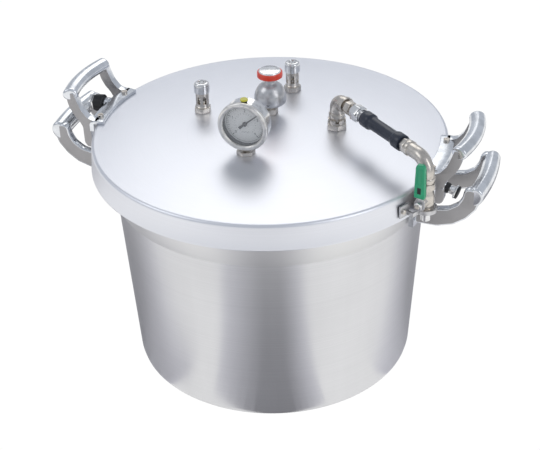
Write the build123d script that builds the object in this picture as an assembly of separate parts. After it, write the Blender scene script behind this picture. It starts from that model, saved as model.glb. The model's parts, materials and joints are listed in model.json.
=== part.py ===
"""Large twist-lock pressure canner: pot, lid, seal, handles, gauge, valves and steam line.

Millimetres. The origin is the centre of the pot's base on the floor, +Z is up,
+X points to the right handle and -Y to the side that faces the user.
"""
from build123d import *
from math import atan2, cos, degrees, hypot, radians, sin
import os

# ---- driving dimensions --------------------------------------------------------------
LID_TOP_Z = 362.0
LID_RADIUS = 260.0
LID_PLATE = 5.0
SKIRT_DROP = 38.0
SKIRT_FLARE = 2.6
SKIRT_WALL = 4.0
LID_EDGE_R = 5.0

BASE_RADIUS = 213.0
BASE_CORNER_R = 12.0
BASE_PLATE = 8.0
POT_WALL = 5.0
SHOULDER_Z = 280.0
SHOULDER_RADIUS = 229.5
RIM_Z = 350.0
BAND_RADIUS_LOW = 232.5
BAND_RADIUS_HIGH = 235.0

LUG_COUNT = 8
POT_LUG_ARC = 20.0
POT_LUG_RADIUS = 250.5
POT_LUG_Z = (336.0, 345.0)
LID_LUG_ARC = 17.0
LID_LUG_RADIUS = 243.0
LID_LUG_Z = (326.0, 334.0)

GASKET_INNER = 227.0
GASKET_OUTER = 239.5
SEAL_GAP = 0.3
RETAINER_INNER = 240.5
RETAINER_OUTER = 244.0

HANDLE_HALF = 58.0
ARM_THICK = 12.0
FIT_GAP = 0.3

LID_BAR_END = (292.0, 42.0)
LID_BAR_BOW = 9.0
LID_BAR_RX = 11.5
LID_BAR_RZ = 9.5
SADDLE_INNER = 248.0
SADDLE_TOP = 5.0

POT_BAR_END = (317.0, -22.0)
POT_BAR_BOW = 5.0
POT_BAR_RX = 12.5
POT_BAR_RZ = 15.0

GAUGE_AT = (-9.0, -72.0)
GAUGE_TURN = 2.0
GAUGE_CENTRE_H = 46.5
GAUGE_BEZEL_R = 37.0
BEZEL_OPENING_R = 29.5
BEZEL_DEPTH = 6.5
GAUGE_CASE_R = 34.5
GAUGE_DEPTH = 24.0
GAUGE_FRONT = 6.5
SOCKET_R = 6.0

REGULATOR_AT = (-18.0, 54.0)
SAFETY_PLACES = {"front": (-118.0, 30.0), "back": (-13.0, 138.0)}
VENT_AT = (90.0, 41.0)
STEAM_DROP_AT = (259.5, -93.5)
STEAM_H = 46.0
STEAM_TUBE_R = 7.5
STEAM_ELBOW_R = 12.0
STEAM_BORE_R = 5.0

# Each lid lock: its foot (height above the lid), its axis, how far back its boss reaches, and
# the sizes of its black sleeve, its hexagon, its washer face and its knob (radius, length).
LOCKS = {
    "right": {
        "foot": (275.6, -50.0, -16.0), "axis": (0.93, -0.10, -0.26), "boss": 4.0,
        "sleeve": (7.5, 6.0), "hex": (12.0, 8.0), "face": (10.0, 2.6), "knob": (9.4, 3.0),
    },
    "left": {
        "foot": (-275.0, 13.0, -2.0), "axis": (-1.0, -0.05, -0.08), "boss": 10.0,
        "sleeve": (13.0, 14.0), "hex": (24.0, 8.0), "face": (10.0, 1.2), "knob": (7.0, 1.2),
    },
}
LOCK_BOSS_R = 8.5

LEVER_STEM_AZ = -105.0
LEVER_PIVOT_H = -14.0

# hole radius in the lid plate for each threaded fitting
FITTING_HOLES = {
    "gauge": (GAUGE_AT, 6.5),
    "regulator": (REGULATOR_AT, 6.0),
    "safety_front": (SAFETY_PLACES["front"], 6.0),
    "safety_back": (SAFETY_PLACES["back"], 6.0),
    "steam": (VENT_AT, 8.0),
}
INNER_NUT_THICK = 5.0
INNER_NUT_EXTRA = 5.0
FITTING_BORE_R = 2.5


# ---- small helpers -------------------------------------------------------------------
def height(above_lid):
    """Height over the floor of a point given above the lid's top face."""
    return LID_TOP_Z + above_lid


def turned(points):
    """Solid of revolution about Z from (radius, height) points."""
    return revolve(Plane.XZ * make_face(Polyline(*points, close=True)), Axis.Z)


def rod(radius, length):
    return Cylinder(radius, length, align=(Align.CENTER, Align.CENTER, Align.MIN))


def pipe(outer, inner, length):
    return rod(outer, length) - rod(inner, length)


def hexagon(across_flats, length):
    return extrude(RegularPolygon(across_flats / 2, 6, major_radius=False), length)


def placed(shape, origin, axis, x_dir=None):
    """Move a shape built along +Z so that it starts at origin and runs along axis."""
    return Plane(origin=origin, x_dir=x_dir, z_dir=axis).location * shape


def mirrored_half_turn(shape):
    return Rotation(0, 0, 180) * shape


def on_lid(point, above):
    return (point[0], point[1], height(above))


def sector_ring(inner, outer, low, high, arc, middle):
    """Part of a flat ring, arc degrees wide about the angle middle."""
    outline = [(0, 0)]
    reach = outer * 1.3
    for step in (-0.5, -0.17, 0.17, 0.5):
        angle = radians(middle + arc * step)
        outline.append((reach * cos(angle), reach * sin(angle)))
    wedge = extrude(make_face(Polyline(*outline, close=True)), high - low)
    return Pos(0, 0, low) * (pipe(outer, inner, high - low) & wedge)


def swept_bar(ends, height_at, bow, rx, rz):
    """Bar between the two arms, bowed outwards in plan, with an oval section."""
    start = (ends, -HANDLE_HALF, height_at)
    middle = (ends + bow, 0, height_at)
    finish = (ends, HANDLE_HALF, height_at)
    path = ThreePointArc(start, middle, finish)
    section = Plane(origin=path @ 0, x_dir=(0, 0, 1), z_dir=path % 0) * Ellipse(rz, rx)
    return sweep(section, path=path)


def arm(points, side):
    """Side arm of a handle: an (x, height above lid) outline, ARM_THICK wide in Y."""
    outline = [(x, height(h)) for x, h in points]
    face = Plane.XZ * make_face(Polyline(*outline, close=True))
    low_y = HANDLE_HALF - ARM_THICK if side > 0 else -HANDLE_HALF
    return Pos(0, low_y + ARM_THICK, 0) * extrude(face, ARM_THICK)


# ---- pot -----------------------------------------------------------------------------
def pot_shell():
    outer = [(0, 0), (BASE_RADIUS - BASE_CORNER_R, 0)]
    for step in range(1, 7):
        angle = radians(90 * step / 6)
        outer.append((
            BASE_RADIUS - BASE_CORNER_R + BASE_CORNER_R * sin(angle),
            BASE_CORNER_R - BASE_CORNER_R * cos(angle),
        ))
    outer += [(SHOULDER_RADIUS, SHOULDER_Z), (SHOULDER_RADIUS, RIM_Z)]
    inner = [
        (SHOULDER_RADIUS - POT_WALL, RIM_Z),
        (SHOULDER_RADIUS - POT_WALL, SHOULDER_Z),
        (BASE_RADIUS - POT_WALL, BASE_CORNER_R),
        (BASE_RADIUS - BASE_CORNER_R, BASE_PLATE),
        (0, BASE_PLATE),
    ]
    return without_rivets(turned(outer + inner))


def without_rivets(shape):
    rivets = pot_rivets()
    return shape - rivets - mirrored_half_turn(rivets)


def rim_ring():
    band = turned([
        (SHOULDER_RADIUS, SHOULDER_Z),
        (BAND_RADIUS_LOW, SHOULDER_Z),
        (BAND_RADIUS_HIGH, POT_LUG_Z[0]),
        (BAND_RADIUS_HIGH, RIM_Z),
        (SHOULDER_RADIUS, RIM_Z),
    ])
    for index in range(LUG_COUNT):
        middle = index * 360 / LUG_COUNT
        band += sector_ring(
            SHOULDER_RADIUS + 1, POT_LUG_RADIUS, POT_LUG_Z[0], POT_LUG_Z[1], POT_LUG_ARC, middle
        )
    return without_rivets(band)


POT_ARM = [
    (233, -77), (268, -77), (291, -70), (308, -58), (321, -42), (327, -24), (324, -12),
    (309, -10), (303, -14), (301, -26), (295, -37), (282, -46), (262, -50), (233, -50),
]
ROOT_PAD = (-84.0, -50.0)
ROOT_PAD_DEPTH = 8.0
RIVET_R = 4.0
RIVET_HEAD_R = 7.5
RIVET_Y = (-50.0, -18.0, 18.0, 50.0)
RIVET_H = -67.0


def pot_handle():
    body = arm(POT_ARM, -1) + arm(POT_ARM, 1)
    body += swept_bar(POT_BAR_END[0], height(POT_BAR_END[1]), POT_BAR_BOW, POT_BAR_RX, POT_BAR_RZ)
    pad_low = height(ROOT_PAD[0])
    pad = Pos(0, 0, pad_low) * pipe(
        BAND_RADIUS_HIGH + ROOT_PAD_DEPTH, BAND_RADIUS_LOW, ROOT_PAD[1] - ROOT_PAD[0]
    )
    window = Pos(BAND_RADIUS_HIGH, 0, pad_low + 20) * Box(60, 2 * HANDLE_HALF + 8, 60)
    body += pad & window
    body -= Pos(0, 0, pad_low - 20) * rod(BAND_RADIUS_HIGH + FIT_GAP, 120)
    return body - pot_rivets()


def pot_rivets():
    """Four rivets from inside the pot into the handle's root, heads on the inside."""
    rivets = None
    for y in RIVET_Y:
        angle = degrees(atan2(y, hypot(SHOULDER_RADIUS, y)))
        radial = (cos(radians(angle)), sin(radians(angle)), 0)
        inner_r = SHOULDER_RADIUS - POT_WALL - 2.5
        head_at = (inner_r * radial[0], inner_r * radial[1], height(RIVET_H))
        rivet = placed(rod(RIVET_R, 15.5) + rod(RIVET_HEAD_R, 2.2), head_at, radial)
        rivets = rivet if rivets is None else rivets + rivet
    return rivets


# ---- seal and lid --------------------------------------------------------------------
def gasket():
    low = RIM_Z + SEAL_GAP
    high = LID_TOP_Z - LID_PLATE - SEAL_GAP
    return turned([
        (GASKET_INNER, low),
        (GASKET_INNER + 6, low + 1.5),
        (GASKET_OUTER, low),
        (GASKET_OUTER, high),
        (GASKET_INNER, high),
    ])


def lid_shell():
    bottom = LID_TOP_Z - SKIRT_DROP
    under = LID_TOP_Z - LID_PLATE
    outline = [(0, LID_TOP_Z), (LID_RADIUS - LID_EDGE_R, LID_TOP_Z)]
    for step in range(1, 6):
        angle = radians(90 * step / 5)
        outline.append((
            LID_RADIUS - LID_EDGE_R + LID_EDGE_R * sin(angle),
            LID_TOP_Z - LID_EDGE_R + LID_EDGE_R * cos(angle),
        ))
    outline += [
        (LID_RADIUS + SKIRT_FLARE, bottom),
        (LID_RADIUS + SKIRT_FLARE - SKIRT_WALL, bottom),
        (LID_RADIUS - SKIRT_WALL - 1, under),
        (RETAINER_OUTER, under),
        (RETAINER_OUTER, RIM_Z + 2),
        (RETAINER_INNER, RIM_Z + 2),
        (RETAINER_INNER, under),
        (0, under),
    ]
    shell = turned(outline)
    for place, hole_r in FITTING_HOLES.values():
        shell -= Pos(place[0], place[1], under - 1) * rod(hole_r, LID_PLATE + 2)
    shanks = screw_shanks()
    return shell - shanks - mirrored_half_turn(shanks)


def lid_lug_ring():
    """Eight bayonet lugs on a thin band that is welded inside the skirt."""
    low, high = LID_LUG_Z
    skirt_inner = LID_RADIUS - SKIRT_WALL + 1.5
    ring = Pos(0, 0, low) * pipe(skirt_inner, skirt_inner - 2.5, high - low)
    for index in range(LUG_COUNT):
        middle = index * 360 / LUG_COUNT
        ring += sector_ring(LID_LUG_RADIUS, skirt_inner - 1, low, high, LID_LUG_ARC, middle)
    return ring


LID_ARM = [
    (259.6, -40), (271, -40), (275.5, -34), (276, -8), (281, 1), (289, 10), (295, 21), (298, 32),
    (296, 43), (286, 46), (283, 34), (277, 19), (268, 8), (262, SADDLE_TOP), (250, SADDLE_TOP),
    (250, 0), (259.6, 0),
]
SCREW_PLACES = [(254.0, -41.0), (254.0, 41.0)]
SCREW_HEAD_R = 4.5
SCREW_HEAD_H = 3.0
SCREW_SHANK_R = 2.0


def lid_handle(side):
    """Cast lid handle: saddle on the lid's edge, two arms, a bowed oval grip and a lock boss."""
    saddle = Pos(0, 0, LID_TOP_Z) * pipe(LID_RADIUS + 10, SADDLE_INNER, SADDLE_TOP)
    apron_drop = 12.0
    apron = Pos(0, 0, LID_TOP_Z - apron_drop) * pipe(
        LID_RADIUS + 10, LID_RADIUS + 2.2, apron_drop + 1
    )
    window = Pos(LID_RADIUS, 0, LID_TOP_Z) * Box(60, 2 * HANDLE_HALF, 60)
    body = (saddle + apron) & window
    body += arm(LID_ARM, -1) + arm(LID_ARM, 1)
    body += swept_bar(LID_BAR_END[0], height(LID_BAR_END[1]), LID_BAR_BOW, LID_BAR_RX, LID_BAR_RZ)
    body -= screw_shanks()
    if side == "left":
        body = mirrored_half_turn(body)
    reach = LOCKS[side]["boss"]
    body += lock_part(side, rod(LOCK_BOSS_R, reach), -reach)
    return body - inside_skirt() - lock_part(side, rod(*LOCKS[side]["sleeve"]), 0)


def screw_shanks():
    length = LID_PLATE + SADDLE_TOP
    shanks = None
    for x, y in SCREW_PLACES:
        shank = Pos(x, y, height(-LID_PLATE)) * rod(SCREW_SHANK_R, length)
        shanks = shank if shanks is None else shanks + shank
    return shanks


def lid_handle_screws():
    """Slotted screws that hold the saddle down on the lid."""
    screws = screw_shanks()
    for x, y in SCREW_PLACES:
        head = rod(SCREW_HEAD_R, SCREW_HEAD_H)
        head -= Pos(0, 0, SCREW_HEAD_H) * Box(2 * SCREW_HEAD_R, 1.2, 2.0)
        screws += Pos(x, y, height(SADDLE_TOP)) * head
    return screws


# ---- threaded fittings: one inner nut for each ---------------------------------------
def inner_nut(name):
    place, hole_r = FITTING_HOLES[name]
    nut = hexagon(2 * hole_r + 2 * INNER_NUT_EXTRA, INNER_NUT_THICK) - rod(hole_r, INNER_NUT_THICK)
    return Pos(place[0], place[1], height(-LID_PLATE - INNER_NUT_THICK)) * nut


def threaded_stub(name):
    """Hollow stub through the lid and its inner nut, ending at the lid's top face."""
    place, hole_r = FITTING_HOLES[name]
    length = LID_PLATE + INNER_NUT_THICK + 1.5
    stub = pipe(hole_r, FITTING_BORE_R, length)
    return Pos(place[0], place[1], height(-length)) * stub


# ---- pressure gauge ------------------------------------------------------------------
def gauge_frame(forward):
    """Plane on the gauge's axis, forward mm in front of the stem, facing the user."""
    angle = radians(-90 + GAUGE_TURN)
    facing = (cos(angle), sin(angle), 0)
    origin = (
        GAUGE_AT[0] + facing[0] * forward,
        GAUGE_AT[1] + facing[1] * forward,
        height(GAUGE_CENTRE_H),
    )
    return Plane(origin=origin, x_dir=(-facing[1], facing[0], 0), z_dir=facing)


def gauge_socket():
    body = threaded_stub("gauge")
    hollow = rod(FITTING_BORE_R, 20)
    body += on_plane(GAUGE_AT, 0, hexagon(24, 6) - hollow)
    body += on_plane(GAUGE_AT, 6, rod(SOCKET_R, GAUGE_CENTRE_H - GAUGE_CASE_R - 5.5) - hollow)
    return body


def on_plane(place, above, shape):
    return Pos(place[0], place[1], height(above)) * shape


def gauge_case():
    """Cup behind the bezel, open to the front, with a boss under it for the socket."""
    frame = gauge_frame(GAUGE_FRONT - GAUGE_DEPTH).location
    case = rod(GAUGE_CASE_R, GAUGE_DEPTH) - Pos(0, 0, 3) * rod(GAUGE_CASE_R - 2, GAUGE_DEPTH)
    case = frame * case
    case -= on_plane(GAUGE_AT, GAUGE_CENTRE_H - GAUGE_CASE_R - 3, rod(SOCKET_R, 3.5))
    return case - gauge_fill_plug()


def gauge_bezel():
    frame = gauge_frame(GAUGE_FRONT).location
    ring = turned([
        (GAUGE_CASE_R - 1.5, 0), (GAUGE_BEZEL_R, 0), (GAUGE_BEZEL_R, BEZEL_DEPTH - 2.5),
        (GAUGE_BEZEL_R - 2, BEZEL_DEPTH), (BEZEL_OPENING_R, BEZEL_DEPTH),
        (BEZEL_OPENING_R, BEZEL_DEPTH - 1.9), (GAUGE_CASE_R - 1.5, BEZEL_DEPTH - 1.9),
    ])
    return frame * ring


def gauge_lens():
    return gauge_frame(GAUGE_FRONT + 2.5).location * rod(GAUGE_CASE_R - 1.8, 2.0)


DIAL_BACK = 8.0
DIAL_R = 30.8


def gauge_dial():
    dial = rod(DIAL_R, 1.0) - rod(1.5, 1.0)
    return gauge_frame(GAUGE_FRONT - DIAL_BACK).location * dial


NEEDLE_POINTS_AT = 40.0


def gauge_needle():
    """Pointer with a tail, on a short hub over the dial."""
    tip, tail, half = 26.0, -11.0, 1.3
    outline = [(tail, -2.2), (0, -half), (tip, -0.35), (tip, 0.35), (0, half), (tail, 2.2)]
    blade = Rotation(0, 0, NEEDLE_POINTS_AT) * extrude(make_face(Polyline(*outline, close=True)), 0.8)
    hub = Pos(0, 0, -1.6) * rod(3.4, 3.2)
    spindle = Pos(0, 0, -3.8) * rod(1.45, 3.0)
    return gauge_frame(GAUGE_FRONT - DIAL_BACK + 3.0).location * (blade + hub + spindle)


def gauge_fill_plug():
    """Rubber plug in the top of the liquid-filled case."""
    return on_plane(GAUGE_AT, GAUGE_CENTRE_H + GAUGE_CASE_R - 3, rod(4.5, 5.5))


def gauge_fill_cap():
    return on_plane(GAUGE_AT, GAUGE_CENTRE_H + GAUGE_CASE_R + 2.5, rod(5.5, 2.5))


# ---- weight regulator ----------------------------------------------------------------
def regulator_vent():
    """Hex nut and vent pipe that the weight sits on."""
    bore = rod(FITTING_BORE_R, 30)
    body = threaded_stub("regulator")
    body += on_plane(REGULATOR_AT, 0, hexagon(20, 10) - bore)
    body += on_plane(REGULATOR_AT, 10, rod(6.0, 18) - bore)
    return body


def regulator_weight():
    """Bell-shaped weight, hollow from below, that rests over the vent pipe."""
    outline = [
        (7, 18), (20, 18), (23, 20), (24, 24), (23.9, 29), (22.6, 36), (19.5, 43), (15, 48),
        (10.5, 51), (8.3, 52.5), (8.3, 60), (0, 60), (0, 30), (7, 30),
    ]
    bell = turned(outline)
    bell -= Pos(0, -20, 26) * Rotation(90, 0, 0) * rod(2.2, 8)
    return on_plane(REGULATOR_AT, 0, bell)


def regulator_ring():
    return on_plane(REGULATOR_AT, 61, pipe(19, 16.5, 8.5))


def regulator_knob():
    knob = turned([(0, 60), (17, 60), (17, 61), (16.5, 61), (16.5, 70.3), (15, 71.5), (0, 71.5)])
    return on_plane(REGULATOR_AT, 0, knob)


# ---- safety valves -------------------------------------------------------------------
CAGE_R = 9.8
CAGE_POSTS = 6


def safety_body(name):
    """Hex base, seat and a cage of posts that carries the cap."""
    place = SAFETY_PLACES[name]
    bore = rod(FITTING_BORE_R, 60)
    body = threaded_stub("safety_" + name)
    body += on_plane(place, 0, hexagon(23, 10) - bore)
    body += on_plane(place, 10, rod(CAGE_R, 5) - bore)
    posts = pipe(CAGE_R, CAGE_R - 2.2, 17)
    for index in range(CAGE_POSTS // 2):
        posts -= Pos(0, 0, 8.5) * Rotation(0, 0, index * 60) * Box(30, 5.2, 17)
    body += on_plane(place, 15, posts)
    return body


def safety_cap(name):
    cap = rod(11.5, 16) - Pos(0, 0, -0.1) * rod(CAGE_R - 2.4, 9)
    cap = chamfer(cap.faces().sort_by(Axis.Z)[-1].edges(), 1.2)
    cap -= Pos(0, 0, 12) * pipe(8.0, 6.6, 5)
    return on_plane(SAFETY_PLACES[name], 32, cap)


def safety_poppet(name):
    """Valve disc with a stem that lifts off its seat."""
    poppet = turned([(0, 15.3), (6.5, 15.3), (6.5, 19), (2.4, 19), (2.4, 30), (0, 30)])
    return on_plane(SAFETY_PLACES[name], 0, poppet)


SPRING_R = 4.6
SPRING_WIRE_R = 0.7


def safety_spring(name):
    """Coil between the poppet's shoulder and the cap."""
    low, high = 20.0, 39.8
    path = Helix(pitch=4.2, height=high - low, radius=SPRING_R)
    section = Plane(origin=path @ 0, z_dir=path % 0) * Circle(SPRING_WIRE_R)
    return on_plane(SAFETY_PLACES[name], low, sweep(section, path=path, is_frenet=True))


# ---- steam release line --------------------------------------------------------------
RUN_LENGTH = hypot(STEAM_DROP_AT[0] - VENT_AT[0], STEAM_DROP_AT[1] - VENT_AT[1])
RUN_DIR = (
    (STEAM_DROP_AT[0] - VENT_AT[0]) / RUN_LENGTH,
    (STEAM_DROP_AT[1] - VENT_AT[1]) / RUN_LENGTH,
    0,
)
ELBOW_LEG = 26.0
NUT_SPAN = (44.0, 64.0)
GRIP_SPAN = (71.0, 161.0)
OUTER_LEG_FROM = 164.0
DROP_LEG = 33.0
VALVE_SPAN = (-32.0, STEAM_H - DROP_LEG)
NOZZLE_END = -46.0
VALVE_HEX = 22.0
BALL_R = 7.5


def along_run(distance):
    return (
        VENT_AT[0] + RUN_DIR[0] * distance,
        VENT_AT[1] + RUN_DIR[1] * distance,
        height(STEAM_H),
    )


def on_run(shape, distance):
    return placed(shape, along_run(distance), RUN_DIR)


def bent_tube(points, radius, outer, inner):
    path = FilletPolyline(*points, radius=radius)
    start = Plane(origin=path @ 0, z_dir=path % 0)
    return sweep(start * Circle(outer), path=path) - sweep(start * Circle(inner), path=path)


def steam_base():
    """Castle nut with a crown that clamps the elbow's foot."""
    bore = rod(FITTING_BORE_R, 40)
    body = threaded_stub("steam")
    body += on_plane(VENT_AT, 0, hexagon(27, 10) - bore)
    crown = pipe(13, 9.2, 6)
    for index in range(3):
        crown -= Pos(0, 0, 4) * Rotation(0, 0, index * 60) * Box(30, 4.5, 6)
    body += on_plane(VENT_AT, 10, crown)
    body += on_plane(VENT_AT, 10, rod(9.2, 2) - bore)
    return body


def steam_elbow_inner():
    foot = on_lid(VENT_AT, 12.2)
    corner = on_lid(VENT_AT, STEAM_H)
    elbow = bent_tube([foot, corner, along_run(ELBOW_LEG)], 15.0, 9.0, STEAM_BORE_R)
    elbow += placed(pipe(STEAM_ELBOW_R, STEAM_BORE_R, 7), along_run(ELBOW_LEG - 7), RUN_DIR)
    elbow += on_plane(VENT_AT, 17, pipe(STEAM_ELBOW_R, STEAM_BORE_R, 8))
    return elbow


def steam_nipple():
    return on_run(pipe(7.0, STEAM_BORE_R, NUT_SPAN[0] - ELBOW_LEG), ELBOW_LEG)


def union_nut():
    length = NUT_SPAN[1] - NUT_SPAN[0]
    nut = hexagon(22, length) - rod(STEAM_TUBE_R, length)
    return on_run(nut + pipe(STEAM_TUBE_R, STEAM_BORE_R, 3), NUT_SPAN[0])


def steam_pipe():
    """Straight tube from the union to the outer elbow, inside the grip."""
    start = NUT_SPAN[0] + 3
    length = OUTER_LEG_FROM - start
    return on_run(pipe(STEAM_TUBE_R - 0.2, STEAM_BORE_R, length), start)


def grip_sleeve():
    """Insulating grip with a collar at each end."""
    length = GRIP_SPAN[1] - GRIP_SPAN[0]
    collar = 18.0
    wide, narrow = 11.8, 9.4
    outline = [
        (STEAM_TUBE_R, 0), (wide - 1, 0), (wide, 1.5), (wide, collar - 2), (narrow + 0.6, collar),
        (narrow, collar + 3), (narrow, length - collar - 3), (narrow + 0.6, length - collar),
        (wide, length - collar + 2), (wide, length - 1.5), (wide - 1, length),
        (STEAM_TUBE_R, length),
    ]
    return on_run(turned(outline), GRIP_SPAN[0])


def steam_elbow_outer():
    drop_end = (STEAM_DROP_AT[0], STEAM_DROP_AT[1], height(VALVE_SPAN[1]))
    corner = on_lid(STEAM_DROP_AT, STEAM_H)
    elbow = bent_tube([along_run(OUTER_LEG_FROM), corner, drop_end], 22.0, 10.0, STEAM_BORE_R)
    elbow += on_run(hexagon(19, 8) - rod(STEAM_BORE_R, 8), OUTER_LEG_FROM)
    return elbow


def stem_direction():
    angle = radians(LEVER_STEM_AZ)
    return (cos(angle), sin(angle), 0)


def valve_body():
    low, high = VALVE_SPAN
    body = on_plane(STEAM_DROP_AT, low, rod(11.5, high - low))
    body += on_plane(STEAM_DROP_AT, high - 9, hexagon(VALVE_HEX, 9))
    body += on_plane(STEAM_DROP_AT, low, hexagon(VALVE_HEX, 8))
    centre = on_lid(STEAM_DROP_AT, LEVER_PIVOT_H)
    body += placed(rod(8.0, 16.5), centre, stem_direction())
    body -= on_plane(STEAM_DROP_AT, low - 1, rod(STEAM_BORE_R, high - low + 2))
    body -= Pos(*centre) * Sphere(BALL_R + 0.05)
    body -= placed(rod(3.05, 20), centre, stem_direction())
    return body


def valve_ball():
    centre = on_lid(STEAM_DROP_AT, LEVER_PIVOT_H)
    bore = Cylinder(STEAM_BORE_R - 0.8, 3 * BALL_R)
    return Pos(*centre) * (Sphere(BALL_R) - bore) - valve_stem()


LEVER_OFFSET = 17.0
LEVER_THICK = 2.5
LEVER_REACH = 60.0
STEM_FROM = BALL_R - 0.6


def lever_frame(offset):
    centre = on_lid(STEAM_DROP_AT, LEVER_PIVOT_H)
    direction = stem_direction()
    origin = tuple(c + d * offset for c, d in zip(centre, direction))
    return Plane(origin=origin, x_dir=(-direction[1], direction[0], 0), z_dir=direction).location


def valve_stem():
    """Stem from the ball out through the lever and its nut."""
    return lever_frame(STEM_FROM) * rod(3.0, LEVER_OFFSET + LEVER_THICK + 7.0 - STEM_FROM)


def lever_arm():
    """Flat steel lever with a round eye over the stem."""
    plate = rod(8.5, LEVER_THICK)
    plate += Pos(0, LEVER_REACH / 2, 0) * Box(
        9, LEVER_REACH, LEVER_THICK, align=(Align.CENTER, Align.CENTER, Align.MIN)
    )
    return lever_frame(LEVER_OFFSET) * (plate - rod(3.0, LEVER_THICK))


def lever_sleeve():
    """Dipped plastic sleeve over the lever, narrower at its free end."""
    start, finish = 11.0, LEVER_REACH + 2.0
    outline = [
        (-8.0, start + 2), (-6.5, start), (6.5, start), (8.0, start + 2),
        (6.5, finish - 3), (4.5, finish), (-4.5, finish), (-6.5, finish - 3),
    ]
    skin = 2.0
    body = extrude(make_face(Polyline(*outline, close=True)), LEVER_THICK + 2 * skin)
    slot = Pos(0, (LEVER_REACH + start) / 2, skin) * Box(
        9, LEVER_REACH - start, LEVER_THICK, align=(Align.CENTER, Align.CENTER, Align.MIN)
    )
    return lever_frame(LEVER_OFFSET - skin) * (body - slot)


def lever_nut():
    nut = hexagon(11, 5) - rod(3.0, 5)
    return lever_frame(LEVER_OFFSET + LEVER_THICK) * nut


def steam_nozzle():
    length = VALVE_SPAN[0] - NOZZLE_END
    nozzle = pipe(7.0, 4.0, length)
    return on_plane(STEAM_DROP_AT, NOZZLE_END, nozzle)


# ---- bracket on the skirt ------------------------------------------------------------
BRACKET_AZ = -26.7
BRACKET_H = -22.0
BRACKET_WIDE = 18.0
BRACKET_THICK = 2.5
YOKE_H = -31.0
YOKE_TALL = 6.0
YOKE_R = (13.0, 15.5)


def skirt_frame(azimuth, beyond):
    """Frame on the skirt: x along the rim, y up, z outwards."""
    angle = radians(azimuth)
    outward = (cos(angle), sin(angle), 0)
    face_r = LID_RADIUS + SKIRT_FLARE + FIT_GAP + beyond
    origin = (face_r * outward[0], face_r * outward[1], height(BRACKET_H))
    return Plane(origin=origin, x_dir=(-outward[1], outward[0], 0), z_dir=outward).location


def inside_skirt():
    """Space taken by the lid: a disc up to its top face, a little wider than the skirt."""
    return Pos(0, 0, height(-70)) * rod(LID_RADIUS + SKIRT_FLARE + FIT_GAP, 70)


def bracket():
    """Foot on the skirt, a tongue, and a strap to a yoke round the valve body."""
    aligned = (Align.CENTER, Align.CENTER, Align.MIN)
    foot = Box(BRACKET_WIDE, BRACKET_WIDE, BRACKET_THICK, align=aligned)
    tongue = Pos(BRACKET_WIDE / 2 - 1.5, YOKE_H + YOKE_TALL / 2 - BRACKET_H, 0) * Box(
        3, YOKE_TALL, 12, align=aligned
    )
    tongue_end = skirt_frame(BRACKET_AZ, 10.0) * Pos(BRACKET_WIDE / 2 - 1.5, 0, 0)
    start = tongue_end.position
    across = (STEAM_DROP_AT[0] - start.X, STEAM_DROP_AT[1] - start.Y)
    span = hypot(*across)
    strap = placed(
        Pos(0, 0, -1) * Box(YOKE_TALL, 3, span - YOKE_R[0], align=aligned),
        (start.X, start.Y, height(YOKE_H + YOKE_TALL / 2)),
        (across[0] / span, across[1] / span, 0),
        (0, 0, 1),
    )
    yoke = on_plane(STEAM_DROP_AT, YOKE_H, pipe(YOKE_R[1], YOKE_R[0], YOKE_TALL))
    return skirt_frame(BRACKET_AZ, 0) * (foot + tongue) + ((yoke + strap) - inside_skirt())


def bracket_screw():
    head = chamfer(rod(3.6, 2.8).faces().sort_by(Axis.Z)[-1].edges(), 0.8)
    return skirt_frame(BRACKET_AZ, BRACKET_THICK) * Pos(-3, 0, 0) * head


# ---- lid locks -----------------------------------------------------------------------
LOCK_GAP = 0.4
LOCK_PIN_R = 4.0
LOCK_PIN_FIT = 0.1


def lock_part(side, shape, start):
    lock = LOCKS[side]
    size = hypot(*lock["axis"])
    unit = tuple(value / size for value in lock["axis"])
    origin = tuple(foot + value * start for foot, value in zip(lock["foot"], unit))
    return placed(shape, (origin[0], origin[1], height(origin[2])), unit)


def lock_sleeve(side):
    radius, length = LOCKS[side]["sleeve"]
    return lock_part(side, pipe(radius, LOCK_PIN_R + LOCK_PIN_FIT, length), 0)


def lock_bolt(side):
    """Hex body with a washer face and the pin that runs in the sleeve."""
    lock = LOCKS[side]
    start = lock["sleeve"][1] + LOCK_GAP
    across, length = lock["hex"]
    body = lock_part(side, rod(LOCK_PIN_R, start - 1.0), 1.0)
    body += lock_part(side, hexagon(across, length), start)
    body += lock_part(side, rod(*lock["face"]), start + length)
    return body


def lock_knob(side):
    lock = LOCKS[side]
    start = lock["sleeve"][1] + LOCK_GAP + lock["hex"][1] + lock["face"][1]
    return lock_part(side, rod(*lock["knob"]), start)


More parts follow.
